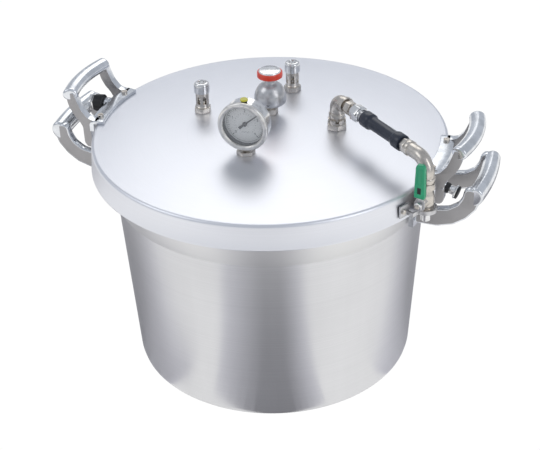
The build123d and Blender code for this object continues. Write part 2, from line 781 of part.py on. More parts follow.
# ---- every node ----------------------------------------------------------------------
def build():
    nodes = {
        "pot_shell": pot_shell(),
        "rim_ring": rim_ring(),
        "gasket": gasket(),
        "lid_shell": lid_shell(),
        "lid_lug_ring": lid_lug_ring(),
        "gauge_socket": gauge_socket(),
        "gauge_case": gauge_case(),
        "gauge_bezel": gauge_bezel(),
        "gauge_lens": gauge_lens(),
        "gauge_dial": gauge_dial(),
        "gauge_needle": gauge_needle(),
        "gauge_fill_plug": gauge_fill_plug(),
        "gauge_fill_cap": gauge_fill_cap(),
        "regulator_vent": regulator_vent(),
        "regulator_weight": regulator_weight(),
        "regulator_ring": regulator_ring(),
        "regulator_knob": regulator_knob(),
        "steam_base": steam_base(),
        "steam_elbow_inner": steam_elbow_inner(),
        "steam_nipple": steam_nipple(),
        "union_nut": union_nut(),
        "steam_pipe": steam_pipe(),
        "grip_sleeve": grip_sleeve(),
        "steam_elbow_outer": steam_elbow_outer(),
        "valve_body": valve_body(),
        "valve_ball": valve_ball(),
        "valve_stem": valve_stem(),
        "lever_arm": lever_arm(),
        "lever_sleeve": lever_sleeve(),
        "lever_nut": lever_nut(),
        "steam_nozzle": steam_nozzle(),
        "bracket": bracket(),
        "bracket_screw": bracket_screw(),
    }
    for name in FITTING_HOLES:
        nodes["inner_nut_" + name] = inner_nut(name)
    for name in SAFETY_PLACES:
        nodes["safety_body_" + name] = safety_body(name)
        nodes["safety_cap_" + name] = safety_cap(name)
        nodes["safety_poppet_" + name] = safety_poppet(name)
        nodes["safety_spring_" + name] = safety_spring(name)
    nodes["pot_handle_right"] = pot_handle()
    nodes["pot_rivets_right"] = pot_rivets()
    nodes["lid_handle_right"] = lid_handle("right")
    nodes["lid_handle_left"] = lid_handle("left")
    nodes["lid_screws_right"] = lid_handle_screws()
    for name in ("pot_handle", "pot_rivets", "lid_screws"):
        nodes[name + "_left"] = mirrored_half_turn(nodes[name + "_right"])
    for side in LOCKS:
        nodes["lock_sleeve_" + side] = lock_sleeve(side)
        nodes["lock_bolt_" + side] = lock_bolt(side)
        nodes["lock_knob_" + side] = lock_knob(side)
    return nodes


os.makedirs("parts", exist_ok=True)
for node, shape in build().items():
    export_step(shape, "parts/" + node + ".step")
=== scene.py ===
"""Pressure canner: detailed pieces, finishes and a plain studio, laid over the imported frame."""
import json
from math import asin, cos, pi, radians, sin

import bmesh
import bpy
from mathutils import Matrix, Vector


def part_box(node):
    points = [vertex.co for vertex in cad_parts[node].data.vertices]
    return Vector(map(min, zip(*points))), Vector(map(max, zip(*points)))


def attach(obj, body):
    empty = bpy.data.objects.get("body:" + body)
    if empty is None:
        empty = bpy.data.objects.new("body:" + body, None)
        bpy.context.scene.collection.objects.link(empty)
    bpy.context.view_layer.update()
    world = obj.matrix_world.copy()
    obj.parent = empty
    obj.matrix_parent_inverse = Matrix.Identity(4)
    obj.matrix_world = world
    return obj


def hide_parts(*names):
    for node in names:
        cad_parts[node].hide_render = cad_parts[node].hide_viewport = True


bl_info = {
    "name": "Pressure Canner Builder",
    "version": (1, 0, 0),
    "blender": (4, 5, 0),
    "location": "View3D > Sidebar > Canner",
    "description": "Builds the pieces, finishes and studio of a large pressure canner",
    "category": "Object",
}

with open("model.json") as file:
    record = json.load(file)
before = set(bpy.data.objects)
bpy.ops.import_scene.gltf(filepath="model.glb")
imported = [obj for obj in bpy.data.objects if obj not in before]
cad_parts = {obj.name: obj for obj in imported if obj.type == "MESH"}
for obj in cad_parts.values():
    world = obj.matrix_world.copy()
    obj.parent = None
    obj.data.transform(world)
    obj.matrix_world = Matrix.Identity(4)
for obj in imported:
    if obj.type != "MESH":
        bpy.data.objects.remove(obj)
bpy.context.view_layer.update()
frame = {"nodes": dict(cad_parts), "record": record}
MM = 0.001
JOINTS = {joint["name"]: joint for joint in frame["record"]["behaviour"]["joints"]}


# ---- places read from the frame ------------------------------------------------------
def low(node):
    return Vector(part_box(node)[0])


def high(node):
    return Vector(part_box(node)[1])


def centre(node):
    return (low(node) + high(node)) / 2


def joint_axis(name):
    return Vector(JOINTS[name]["axis"])


def joint_point(name):
    return Vector(JOINTS[name]["pos_m"])


LID_TOP = high("lid_shell").z
SKIRT_BOTTOM = low("lid_shell").z
SKIRT_RADIUS = high("lid_shell").y
LID_RADIUS = SKIRT_RADIUS - 2.6 * MM
RIM_TOP = high("pot_shell").z
SHOULDER_RADIUS = high("pot_shell").y


# ---- sizes and colours a user may change ---------------------------------------------
def length_property(name, description, default):
    return bpy.props.FloatProperty(
        name=name, description=description, default=default, min=0.0, unit="LENGTH"
    )


def colour_property(name, description, default):
    return bpy.props.FloatVectorProperty(
        name=name, description=description, default=default, size=3, min=0, max=1,
        subtype="COLOR",
    )


class CannerSizes(bpy.types.PropertyGroup):
    """Sizes of the detail that the frame leaves open."""

    lid_edge: length_property("Lid edge", "Rounding of the lid's top edge", 5.0 * MM)
    handle_edge: length_property("Handle edge", "Rounding of the cast handles", 2.4 * MM)
    nut_chamfer: length_property("Nut chamfer", "Chamfer on the hexagons", 0.9 * MM)
    dial_number: length_property("Dial numbers", "Height of the numbers on the dial", 6.0 * MM)
    brush_depth: length_property("Brush depth", "Depth of the spinning marks", 0.02 * MM)


class CannerColours(bpy.types.PropertyGroup):
    """Colours of the finishes."""

    lid_metal: colour_property("Lid", "Satin aluminium of the lid", (0.80, 0.81, 0.85))
    pot_metal: colour_property("Pot", "Spun aluminium of the pot", (0.71, 0.71, 0.72))
    band_metal: colour_property("Rim band", "Matte band under the lid", (0.78, 0.78, 0.78))
    cast_metal: colour_property("Grips", "Polished cast grips", (0.78, 0.80, 0.83))
    # Darker than the grips: this colour paints shade on the handles' arm sides, over their real
    # matte finish.
    cast_side: colour_property("Handle sides", "Matte sides of the castings", (0.42, 0.41, 0.41))
    fitting: colour_property("Fittings", "Nickel of the pipe fittings", (0.64, 0.60, 0.55))
    grip: colour_property("Sleeve", "Insulating sleeve on the steam line", (0.012, 0.018, 0.035))
    lever: colour_property("Lever", "Dipped lever of the ball valve", (0.004, 0.33, 0.15))
    ring: colour_property("Weight ring", "Ring round the regulator's knob", (0.78, 0.045, 0.015))
    cap: colour_property("Fill cap", "Cap of the gauge's filling plug", (0.62, 0.58, 0.06))


def sizes():
    return bpy.context.scene.canner_sizes


def colours():
    return bpy.context.scene.canner_colours


# ---- shader expressions --------------------------------------------------------------
class Field:
    """A shader socket that takes part in Python expressions."""

    def __init__(self, finish, socket):
        self.finish = finish
        self.socket = socket

    def _maths(self, operation, first, second):
        return self.finish.node("ShaderNodeMath", {"operation": operation}, {0: first, 1: second})

    def __add__(self, other):
        return self._maths("ADD", self, other)

    def __radd__(self, other):
        return self._maths("ADD", other, self)

    def __sub__(self, other):
        return self._maths("SUBTRACT", self, other)

    def __rsub__(self, other):
        return self._maths("SUBTRACT", other, self)

    def __mul__(self, other):
        return self._maths("MULTIPLY", self, other)

    def __rmul__(self, other):
        return self._maths("MULTIPLY", other, self)

    def __pow__(self, other):
        return self._maths("POWER", self, other)

    def hypotenuse(self, other):
        return (self * self + other * other) ** 0.5

    def smooth(self, start, end):
        """0 below start, 1 above end and smooth between them."""
        settings = {"interpolation_type": "SMOOTHSTEP"}
        values = {0: self, 1: start, 2: end, 3: 0.0, 4: 1.0}
        return self.finish.node("ShaderNodeMapRange", settings, values)


class Finish:
    """One material: a Principled shader and the fields that drive it."""

    def __init__(self, name, metallic, **constants):
        self.material = bpy.data.materials.new(name)
        self.material.use_nodes = True
        self.tree = self.material.node_tree
        self.shader = self.tree.nodes["Principled BSDF"]
        self.shader.inputs["Metallic"].default_value = metallic
        for key, value in constants.items():
            self.shader.inputs[key.replace("_", " ")].default_value = value
        place = self.node("ShaderNodeTexCoord", output="Object")
        self.place = place
        apart = self.node("ShaderNodeSeparateXYZ", values={0: place}, output=None)
        self.x, self.y, self.z = (Field(self, socket) for socket in apart.outputs)

    def node(self, kind, settings=None, values=None, output=0):
        made = self.tree.nodes.new(kind)
        for key, value in (settings or {}).items():
            setattr(made, key, value)
        for key, value in (values or {}).items():
            if isinstance(value, Field):
                self.tree.links.new(value.socket, made.inputs[key])
            else:
                made.inputs[key].default_value = value
        return made if output is None else Field(self, made.outputs[output])

    def vector(self, x, y, z):
        return self.node("ShaderNodeCombineXYZ", values={0: x, 1: y, 2: z})

    def noise(self, scale, detail=3.0, where=None, roughness=0.5):
        values = {
            "Vector": where or self.place, "Scale": scale, "Detail": detail,
            "Roughness": roughness,
        }
        return self.node("ShaderNodeTexNoise", values=values)

    def blend(self, amount, first, second):
        """Colour between two, as amount goes from 0 to 1."""
        mix = self.node("ShaderNodeMix", {"data_type": "RGBA"}, output=None)
        for socket, value in ((0, amount), (6, first), (7, second)):
            if isinstance(value, Field):
                self.tree.links.new(value.socket, mix.inputs[socket])
            elif socket == 0:
                mix.inputs[socket].default_value = value
            else:
                mix.inputs[socket].default_value = (*value, 1.0)
        return Field(self, mix.outputs[2])

    def feed(self, socket, field):
        self.tree.links.new(field.socket, self.shader.inputs[socket])

    def bump(self, height, depth, strength=1.0):
        values = {"Height": height, "Distance": depth, "Strength": strength}
        self.feed("Normal", self.node("ShaderNodeBump", values=values))


def shaded(colour, factor):
    """Colour made lighter or darker."""
    return tuple(min(1.0, channel * factor) for channel in colour)


def spun_metal(name, colour, rough, ring_scale, mottling=0.05, stretch=0.0):
    """Aluminium with fine marks round the axis, from the centre out and up the wall."""
    finish = Finish(name, 1.0, Anisotropic=stretch, Anisotropic_Rotation=0.25)
    radius = finish.x.hypotenuse(finish.y)
    marks = finish.noise(1.0, 2.0, finish.vector(radius * ring_scale, finish.z * ring_scale, 0.0))
    cloud = finish.noise(9.0, 4.0)
    wipe = finish.noise(1.0, 3.0, finish.vector(finish.x * 40, finish.y * 40, finish.z * 2.0))
    tone = marks * 0.5 + cloud * 0.3 + wipe * 0.2
    finish.feed("Base Color", finish.blend(
        tone.smooth(0.3, 0.7), shaded(colour, 1 - mottling), shaded(colour, 1 + mottling)
    ))
    finish.feed("Roughness", rough - 0.05 + marks * 0.06 + wipe * 0.04)
    finish.bump(marks, sizes().brush_depth, 0.35)
    return finish.material


def cast_polish(name, colour, rough):
    """Hand-polished casting: soft waves, and duller patches in the hollows."""
    finish = Finish(name, 1.0)
    wave = finish.noise(55.0, 2.0)
    grain = finish.noise(900.0, 3.0)
    finish.feed("Base Color", finish.blend(
        wave.smooth(0.35, 0.7), shaded(colour, 0.86), shaded(colour, 1.05)
    ))
    finish.feed("Roughness", rough - 0.04 + wave * 0.10 + grain * 0.04)
    finish.bump(wave + grain * 0.02, 0.35 * MM, 0.30)
    return finish.material


def cast_matte(name, colour):
    """Tumbled side of a casting with an even fine grain; its darker colour paints shade on the arm
    sides.
    """
    finish = Finish(name, 0.75)
    grain = finish.noise(1400.0, 4.0, roughness=0.7)
    stain = finish.noise(28.0, 3.0)
    tone = (grain * 0.55 + stain * 0.45).smooth(0.3, 0.7)
    finish.feed("Base Color", finish.blend(tone, shaded(colour, 0.88), shaded(colour, 1.12)))
    finish.feed("Roughness", 0.46 + stain * 0.12)
    finish.bump(grain, 0.05 * MM, 0.5)
    return finish.material


def nickel(name, colour, rough=0.2):
    """Plated fitting with turning marks and a little tarnish."""
    finish = Finish(name, 1.0)
    grain = finish.noise(1.0, 2.0, finish.vector(finish.x * 500, finish.y * 500, finish.z * 2600))
    tarnish = finish.noise(120.0, 4.0)
    finish.feed("Base Color", finish.blend(
        tarnish.smooth(0.4, 0.75), colour, shaded(colour, 0.72)
    ))
    finish.feed("Roughness", rough + tarnish * 0.16)
    finish.bump(grain, 0.03 * MM, 0.4)
    return finish.material


def moulded(name, colour, rough, coat=0.0, grain_size=1800.0):
    """Moulded plastic or rubber with a fine mould texture and faint scuffs."""
    finish = Finish(name, 0.0, Coat_Weight=coat, Coat_Roughness=0.12)
    grain = finish.noise(grain_size, 3.0, roughness=0.6)
    scuff = finish.noise(75.0, 4.0)
    brighter = tuple(channel * 1.25 + 0.004 for channel in colour)
    finish.feed("Base Color", finish.blend(scuff.smooth(0.5, 0.8), colour, brighter))
    finish.feed("Roughness", rough - 0.05 + scuff * 0.12)
    finish.bump(grain, 0.04 * MM, 0.4)
    return finish.material


def dial_paint():
    """White enamelled dial, very slightly warm, with broad faintly darker patches at random."""
    finish = Finish("dial_enamel", 0.0)
    speck = finish.noise(2200.0, 2.0)
    broad = finish.noise(30.0, 2.0)
    finish.feed("Base Color", finish.blend(broad, (0.90, 0.90, 0.88), (0.82, 0.82, 0.80)))
    finish.feed("Roughness", 0.35 + speck * 0.1)
    return finish.material


def lens_glass():
    """Clear window with a faint film."""
    finish = Finish("gauge_glass", 0.0, Alpha=0.12, Roughness=0.03)
    film = finish.noise(60.0, 2.0)
    finish.feed("Base Color", finish.blend(film, (0.90, 0.93, 0.95), (0.97, 0.98, 0.99)))
    return finish.material


FINISHES = {}


def mix_finishes():
    tint = colours()
    FINISHES.update({
        "lid": spun_metal("lid_satin", tint.lid_metal, 0.40, 900.0, 0.02),
        "pot": spun_metal("pot_spun", tint.pot_metal, 0.34, 1500.0, 0.06, 0.75),
        "band": spun_metal("band_matte", tint.band_metal, 0.48, 2200.0, 0.03),
        "polished": cast_polish("cast_polished", tint.cast_metal, 0.17),
        # Handle sides: a real matte finish, darkened to paint shade on the arm sides.
        "cast_side": cast_matte("cast_side", tint.cast_side),
        "nickel": nickel("fitting_nickel", tint.fitting),
        "bright": nickel("bright_plate", (0.80, 0.80, 0.80), 0.08),
        "bezel": nickel("bezel_satin", (0.80, 0.78, 0.75), 0.22),
        "steel": nickel("plain_steel", (0.60, 0.60, 0.61), 0.24),
        "sleeve": moulded("sleeve_black", tint.grip, 0.34, 0.2),
        "black": moulded("knob_black", (0.010, 0.011, 0.013), 0.38),
        "rubber": moulded("seal_rubber", (0.24, 0.235, 0.22), 0.7),
        "lever": moulded("lever_green", tint.lever, 0.33, 0.35),
        "ring": moulded("ring_red", tint.ring, 0.28, 0.4),
        "cap": moulded("cap_yellow", tint.cap, 0.3, 0.3),
        "print": moulded("dial_print", (0.012, 0.012, 0.014), 0.5),
        "dial": dial_paint(),
        "glass": lens_glass(),
        "knob": nickel("knob_silver", (0.90, 0.90, 0.90), 0.16),
    })


# ---- modelling helpers ---------------------------------------------------------------
def finished(bm, name, materials, body, replaces=(), smooth_angle=38):
    """Make the object, smooth it below an angle, and hang it on its body."""
    bmesh.ops.remove_doubles(bm, verts=bm.verts, dist=1e-7)
    bmesh.ops.recalc_face_normals(bm, faces=bm.faces)
    for face in bm.faces:
        face.smooth = True
    for edge in bm.edges:
        edge.smooth = len(edge.link_faces) == 2 and edge.calc_face_angle(0) < radians(smooth_angle)
    mesh = bpy.data.meshes.new(name)
    bm.to_mesh(mesh)
    bm.free()
    for material in materials if isinstance(materials, (list, tuple)) else [materials]:
        mesh.materials.append(FINISHES[material])
    piece = bpy.data.objects.new(name, mesh)
    bpy.context.scene.collection.objects.link(piece)
    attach(piece, body)
    if replaces:
        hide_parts(*replaces)
    return piece


def along(origin, axis, spin=0.0):
    """Matrix that takes the Z axis to axis, starting at origin."""
    turn = Vector(axis).normalized().to_track_quat("Z", "Y").to_matrix().to_4x4()
    return Matrix.Translation(origin) @ turn @ Matrix.Rotation(spin, 4, "Z")


def upright(origin, spin=0.0):
    """Matrix that stands a piece on origin, turned by spin."""
    return Matrix.Translation(origin) @ Matrix.Rotation(spin, 4, "Z")


def revolved(bm, profile, matrix, steps=64, soften=0.0):
    """Add a closed (radius, height) profile, in millimetres, spun about the Z axis."""
    verts = [bm.verts.new((radius * MM, 0, height * MM)) for radius, height in profile]
    edges = [bm.edges.new((verts[i], verts[(i + 1) % len(verts)])) for i in range(len(verts))]
    on_axis = [edge for edge in edges if all(abs(vert.co.x) < 1e-9 for vert in edge.verts)]
    bmesh.ops.delete(bm, geom=on_axis, context="EDGES_FACES")
    edges = [edge for edge in edges if edge.is_valid]
    before = set(bm.faces)
    bmesh.ops.spin(
        bm, geom=verts + edges, cent=(0, 0, 0), axis=(0, 0, 1), angle=2 * pi, steps=steps,
        use_merge=True,
    )
    made = [face for face in bm.faces if face not in before]
    made_verts = list({vert for face in made for vert in face.verts})
    bmesh.ops.remove_doubles(bm, verts=made_verts, dist=1e-7)
    made = [face for face in bm.faces if face not in before]
    bmesh.ops.recalc_face_normals(bm, faces=made)
    if soften:
        soften_edges(bm, made, soften)
    made = [face for face in bm.faces if face not in before]
    made_verts = list({vert for face in made for vert in face.verts})
    bmesh.ops.transform(bm, matrix=matrix, verts=made_verts)


def soften_edges(bm, faces, width, segments=2, above=35):
    """Round the edges of some faces that fold by more than an angle."""
    edges = {
        edge for face in faces if face.is_valid for edge in face.edges
        if len(edge.link_faces) == 2 and edge.calc_face_angle(0) > radians(above)
    }
    bmesh.ops.bevel(
        bm, geom=list(edges), offset=width, segments=segments, profile=0.5, affect="EDGES",
        material=-1, clamp_overlap=True,
    )


def prism(bm, sides, across, length, matrix, chamfer=None):
    """Add a prism, such as a hexagon across its flats, in millimetres."""
    before = set(bm.faces)
    corner = across / 2 / cos(pi / sides) * MM
    made = bmesh.ops.create_cone(
        bm, cap_ends=True, segments=sides, radius1=corner, radius2=corner, depth=length * MM
    )
    bmesh.ops.translate(bm, vec=(0, 0, length / 2 * MM), verts=made["verts"])
    soften_edges(bm, [f for f in bm.faces if f not in before],
                 sizes().nut_chamfer if chamfer is None else chamfer * MM)
    verts = list({v for f in bm.faces if f not in before for v in f.verts})
    bmesh.ops.transform(bm, matrix=matrix, verts=verts)


def block(bm, size, matrix, soften=0.6):
    """Add a box of a size in millimetres, standing on its lowest face, with soft edges."""
    before = set(bm.faces)
    made = bmesh.ops.create_cube(bm, size=1.0)
    bmesh.ops.scale(bm, vec=[s * MM for s in size], verts=made["verts"])
    bmesh.ops.translate(bm, vec=(0, 0, size[2] / 2 * MM), verts=made["verts"])
    if soften:
        soften_edges(bm, [f for f in bm.faces if f not in before], soften * MM)
    verts = list({v for f in bm.faces if f not in before for v in f.verts})
    bmesh.ops.transform(bm, matrix=matrix, verts=verts)


def plate(bm, outline, thickness, corner, edge, matrix, side_slot=0):
    """Extrude an outline in its own XY plane, round its corners, then its edges."""
    before = set(bm.faces)
    verts = [bm.verts.new((x * MM, y * MM, 0)) for x, y in outline]
    face = bm.faces.new(verts)
    if corner:
        bmesh.ops.bevel(
            bm, geom=verts, offset=corner * MM, segments=5, profile=0.5, affect="VERTICES",
            material=-1, clamp_overlap=True,
        )
    face = next(f for f in bm.faces if f not in before)
    grown = bmesh.ops.extrude_face_region(bm, geom=[face])
    bmesh.ops.translate(
        bm, vec=(0, 0, thickness * MM),
        verts=[part for part in grown["geom"] if isinstance(part, bmesh.types.BMVert)],
    )
    made = [f for f in bm.faces if f not in before]
    bmesh.ops.recalc_face_normals(bm, faces=made)
    rims = {
        e for f in made for e in f.edges
        if len(e.link_faces) == 2 and e.calc_face_angle(0) > radians(60)
    }
    bmesh.ops.bevel(
        bm, geom=list(rims), offset=edge * MM, segments=3, profile=0.5, affect="EDGES",
        material=-1, clamp_overlap=True,
    )
    bm.normal_update()
    made = [f for f in bm.faces if f not in before]
    for part in made:
        # The flat faces take the side slot; on the handle arms that slot holds the darker side
        # finish, which paints shade.
        part.material_index = side_slot if abs(part.normal.z) > 0.98 else 0
    verts = list({v for f in made for v in f.verts})
    bmesh.ops.transform(bm, matrix=matrix, verts=verts)


def bent_pipe(bm, corner, start_dir, end_dir, bend, radius, legs):
    """Round elbow: a circle spun through the turn, with a straight leg at each end."""
    start_dir, end_dir = Vector(start_dir).normalized(), Vector(end_dir).normalized()
    before = set(bm.faces)
    ring = bmesh.ops.create_circle(bm, cap_ends=True, segments=32, radius=radius * MM)
    foot = Vector(corner) - start_dir * (bend * MM)
    bmesh.ops.transform(bm, matrix=along(foot, start_dir), verts=ring["verts"])
    face = next(f for f in bm.faces if f not in before)
    back = bmesh.ops.extrude_face_region(bm, geom=[face])
    moved = [part for part in back["geom"] if isinstance(part, bmesh.types.BMVert)]
    cap = [part for part in back["geom"] if isinstance(part, bmesh.types.BMFace)]
    hub = foot + end_dir * (bend * MM)
    axis = start_dir.cross(end_dir)
    turned = bmesh.ops.spin(
        bm, geom=cap, cent=hub, axis=axis, angle=start_dir.angle(end_dir), steps=14,
        use_merge=False,
    )
    last = [part for part in turned["geom_last"] if isinstance(part, bmesh.types.BMFace)]
    out = bmesh.ops.extrude_face_region(bm, geom=last)
    ends = [part for part in out["geom"] if isinstance(part, bmesh.types.BMVert)]
    bmesh.ops.translate(bm, vec=end_dir * (legs[1] * MM), verts=ends)
    first = [v for v in ring["verts"] if v.is_valid and v not in moved]
    bmesh.ops.translate(bm, vec=-start_dir * (legs[0] * MM), verts=first)


# ---- pot and lid ---------------------------------------------------------------------
BASE_RADIUS = 213.0
BAND_FOOT = 280.0
POT_WALL = 5.0
LUGS = 8
LUG_SIZE = (16, 82, 9)
LUG_PLACE = (241.5, 336.0)
LID_THICK = 5.0
SEAL_GROOVE = (240.5, 244.0)
STUB_DEPTH = 11.5


def stub(bm, radius, foot):
    """Plain shank that passes down through the lid."""
    revolved(bm, [(0, -STUB_DEPTH), (radius, -STUB_DEPTH), (radius, 0), (0, 0)], foot, 32)


def build_pot():
    outer, inner, rim = SHOULDER_RADIUS / MM, SHOULDER_RADIUS / MM - POT_WALL, RIM_TOP / MM
    base = BASE_RADIUS
    bm = bmesh.new()
    revolved(bm, [
        (0, 0.8), (base - 26, 0.8), (base - 25, 0), (base - 12, 0), (base - 6, 1.6),
        (base - 1.6, 6), (base, 12), (outer, BAND_FOOT), (outer, rim - 0.6),
        (inner, rim - 0.6), (inner, BAND_FOOT), (base - POT_WALL, 16), (base - 16, 8), (0, 8),
    ], Matrix.Identity(4), 160, 0.6 * MM)
    finished(bm, "pot_vessel", "pot", "pot", ["pot_shell"])

    bm = bmesh.new()
    revolved(bm, [
        (outer, BAND_FOOT), (232.0, BAND_FOOT), (232.5, BAND_FOOT + 0.6), (235, 336),
        (235, rim - 0.8), (234.2, rim), (inner, rim), (inner, rim - 0.6), (outer, rim - 0.6),
    ], Matrix.Identity(4), 160)
    for index in range(LUGS):
        turn = Matrix.Rotation(2 * pi * index / LUGS, 4, "Z")
        spot = Matrix.Translation((LUG_PLACE[0] * MM, 0, LUG_PLACE[1] * MM))
        block(bm, LUG_SIZE, turn @ spot, 1.2)
    finished(bm, "pot_rim_band", "band", "pot", ["rim_ring"])


def build_lid():
    top, bottom = LID_TOP / MM, SKIRT_BOTTOM / MM
    radius, skirt, edge = LID_RADIUS / MM, SKIRT_RADIUS / MM, sizes().lid_edge / MM
    under = top - LID_THICK
    profile = [(0, top)]
    for part in range(7):
        angle = radians(15 * part)
        profile.append((radius - edge + edge * sin(angle), top - edge + edge * cos(angle)))
    profile += [
        (skirt - 0.4, bottom + 2.5), (skirt, bottom + 1.6), (skirt, bottom + 0.6),
        (skirt - 0.6, bottom), (skirt - 3.4, bottom), (skirt - 4, bottom + 0.6),
        (radius - 5, under - 2), (radius - 8, under), (SEAL_GROOVE[1], under),
        (SEAL_GROOVE[1], under - 5), (SEAL_GROOVE[0], under - 5), (SEAL_GROOVE[0], under),
        (0, under),
    ]
    bm = bmesh.new()
    revolved(bm, profile, Matrix.Identity(4), 192)
    finished(bm, "lid_plate", "lid", "lid", ["lid_shell"], 50)


# ---- handles -------------------------------------------------------------------------
LID_ARM = [
    (263.2, -40), (271, -40), (275.5, -34), (276, -8), (281, 1), (289, 10), (295, 21), (298, 32),
    (297, 43), (287, 46), (283, 34), (277, 19), (268, 8), (260, 5), (250, 5), (250, 0.1),
    (263.2, 0.1),
]
POT_ARM = [
    (236, -77), (268, -77), (291, -70), (308, -58), (321, -42), (327, -24), (324, -12),
    (309, -10), (303, -14), (301, -26), (295, -37), (282, -46), (262, -50), (236, -50),
]
# Saddle on the lid's edge with its apron over the skirt, and the pad on the pot's band.
SADDLE = [
    (248, 0), (248, 4), (249, 5), (262, 5), (268, 3.5), (270, 0), (270, -11), (269, -12),
    (263.4, -12), (263.4, 0.1),
]
POT_PAD = [(235.4, -84), (242, -84), (243, -83), (243, -51), (242, -50), (235.4, -50)]
# Middle (x, height above the lid), bow and half sizes of each oval bar, and its tilt.
LID_BAR = (292, 42, 9, 11.5, 9.5, 0.0)
POT_BAR = (317, -22, 5, 12.1, 14.5, radians(-20))
HANDLE_HALF = 58.0
ARM_THICK = 12.0


def arm_pair(bm, outline, turn):
    """Two side arms from an (x, height above the lid) outline."""
    stand = Matrix(((1, 0, 0, 0), (0, 0, -1, 0), (0, 1, 0, LID_TOP), (0, 0, 0, 1)))
    for start in (-HANDLE_HALF + ARM_THICK, HANDLE_HALF):
        shift = Matrix.Translation((0, start * MM, 0))
        plate(bm, outline, ARM_THICK, 3.0, sizes().handle_edge / MM, turn @ shift @ stand, 1)


def bowed_bar(bm, bar, turn):
    """Oval grip bent to a gentle bow, with rounded ends."""
    x, height, bow, rx, rz, tilt = bar
    before = set(bm.faces)
    reach = (HANDLE_HALF * HANDLE_HALF + bow * bow) / (2 * bow)
    swing = asin(HANDLE_HALF / reach)
    ring = bmesh.ops.create_circle(bm, cap_ends=True, segments=40, radius=1.0)
    bmesh.ops.scale(bm, vec=(rx * MM, rz * MM, 1), verts=ring["verts"])
    bmesh.ops.rotate(bm, matrix=Matrix.Rotation(tilt, 3, "Z"), verts=ring["verts"])
    stand = Matrix.Rotation(pi / 2, 4, "X")
    hub = Vector(((x + bow - reach) * MM, 0, LID_TOP + height * MM))
    place = Matrix.Translation(hub) @ Matrix.Rotation(-swing, 4, "Z")
    place = place @ Matrix.Translation((reach * MM, 0, 0)) @ stand
    bmesh.ops.transform(bm, matrix=place, verts=ring["verts"])
    face = [f for f in bm.faces if f not in before]
    bmesh.ops.spin(bm, geom=face, cent=hub, axis=(0, 0, 1), angle=2 * swing, steps=24)
    made = [f for f in bm.faces if f not in before]
    bmesh.ops.recalc_face_normals(bm, faces=made)
    soften_edges(bm, made, 3.5 * MM, 4, 60)
    verts = list({v for f in bm.faces if f not in before for v in f.verts})
    bmesh.ops.transform(bm, matrix=turn, verts=verts)


def curved_plate(bm, profile, spread, turn, soften=0.0):
    """Spin a (radius, height above the lid) profile through an arc either side of the X axis."""
    before = set(bm.faces)
    verts = [bm.verts.new((r * MM, 0, LID_TOP + z * MM)) for r, z in profile]
    face = bm.faces.new(verts)
    bmesh.ops.rotate(bm, matrix=Matrix.Rotation(-spread, 3, "Z"), verts=verts)
    bmesh.ops.spin(bm, geom=[face], cent=(0, 0, 0), axis=(0, 0, 1), angle=2 * spread, steps=20)
    if soften:
        made = [f for f in bm.faces if f not in before]
        bmesh.ops.recalc_face_normals(bm, faces=made)
        soften_edges(bm, made, soften * MM, 2, 60)
    verts = list({v for f in bm.faces if f not in before for v in f.verts})
    bmesh.ops.transform(bm, matrix=turn, verts=verts)


# Sizes of each lock (radius or width, length) and how far its boss reaches back.
LOCKS = {
    "right": {"boss": 4.0, "sleeve": (7.5, 6.0), "hex": (12.0, 8.0), "face": (10.0, 2.6),
              "knob": (9.4, 3.0)},
    "left": {"boss": 10.0, "sleeve": (13.0, 14.0), "hex": (24.0, 8.0), "face": (10.0, 1.2),
             "knob": (7.0, 1.2)},
}
LOCK_GAP = 0.4


def lock_start(side, piece):
    """Distance from the lock's foot to where one of its pieces starts."""
    order = ("sleeve", "hex", "face", "knob")
    before = order[:order.index(piece)]
    return sum(LOCKS[side][name][1] for name in before) + (LOCK_GAP if before else 0)


def lock_place(side, distance):
    """Frame on a lock's axis, distance mm from its sleeve's foot."""
    axis = joint_axis("lock_" + side + "_pull").normalized()
    middle = lock_start(side, "knob") + LOCKS[side]["knob"][1] / 2
    return along(centre("lock_knob_" + side) + axis * ((distance - middle) * MM), axis)


def build_handles():
    for side, angle in (("right", 0.0), ("left", pi)):
        turn = Matrix.Rotation(angle, 4, "Z")
        bm = bmesh.new()
        arm_pair(bm, LID_ARM, turn)
        bowed_bar(bm, LID_BAR, turn)
        curved_plate(bm, SADDLE, radians(13.2), turn, 0.8)
        boss = LOCKS[side]["boss"]
        revolved(bm, [(0, -boss), (8.5, -boss), (8.5, 0), (0, 0)], lock_place(side, 0), 32,
                 0.8 * MM)
        finished(bm, "lid_grip_" + side, ["polished", "cast_side"], "lid",
                 ["lid_handle_" + side], 40)

        bm = bmesh.new()
        arm_pair(bm, POT_ARM, turn)
        bowed_bar(bm, POT_BAR, turn)
        curved_plate(bm, POT_PAD, radians(14.6), turn)
        finished(bm, "pot_grip_" + side, ["polished", "cast_side"], "pot",
                 ["pot_handle_" + side], 40)


# ---- gauge ---------------------------------------------------------------------------
CASE_BACK = -17.5
BEZEL_BACK = 6.5
DIAL_BACK = -1.5
NEEDLE_AT = 1.5
GLASS_BACK = 8.2
DIAL_START, DIAL_SWEEP = 225.0, 270.0
MARKS = 40
INNER_MARKS = 20
NUMBERS = 5


def gauge_place(forward):
    """Frame on the gauge's axis, forward mm in front of its stem; x runs to the right."""
    facing = joint_axis("needle_swing").normalized()
    right = Vector((-facing.y, facing.x, 0))
    basis = Matrix((right, Vector((0, 0, 1)), facing)).transposed().to_4x4()
    return Matrix.Translation(joint_point("needle_swing") + facing * (forward * MM)) @ basis


def dial_turn(index, count):
    """Turn about the dial's axis that takes x to one of count equal steps of the scale."""
    return Matrix.Rotation(radians(DIAL_START - DIAL_SWEEP * index / count), 4, "Z")


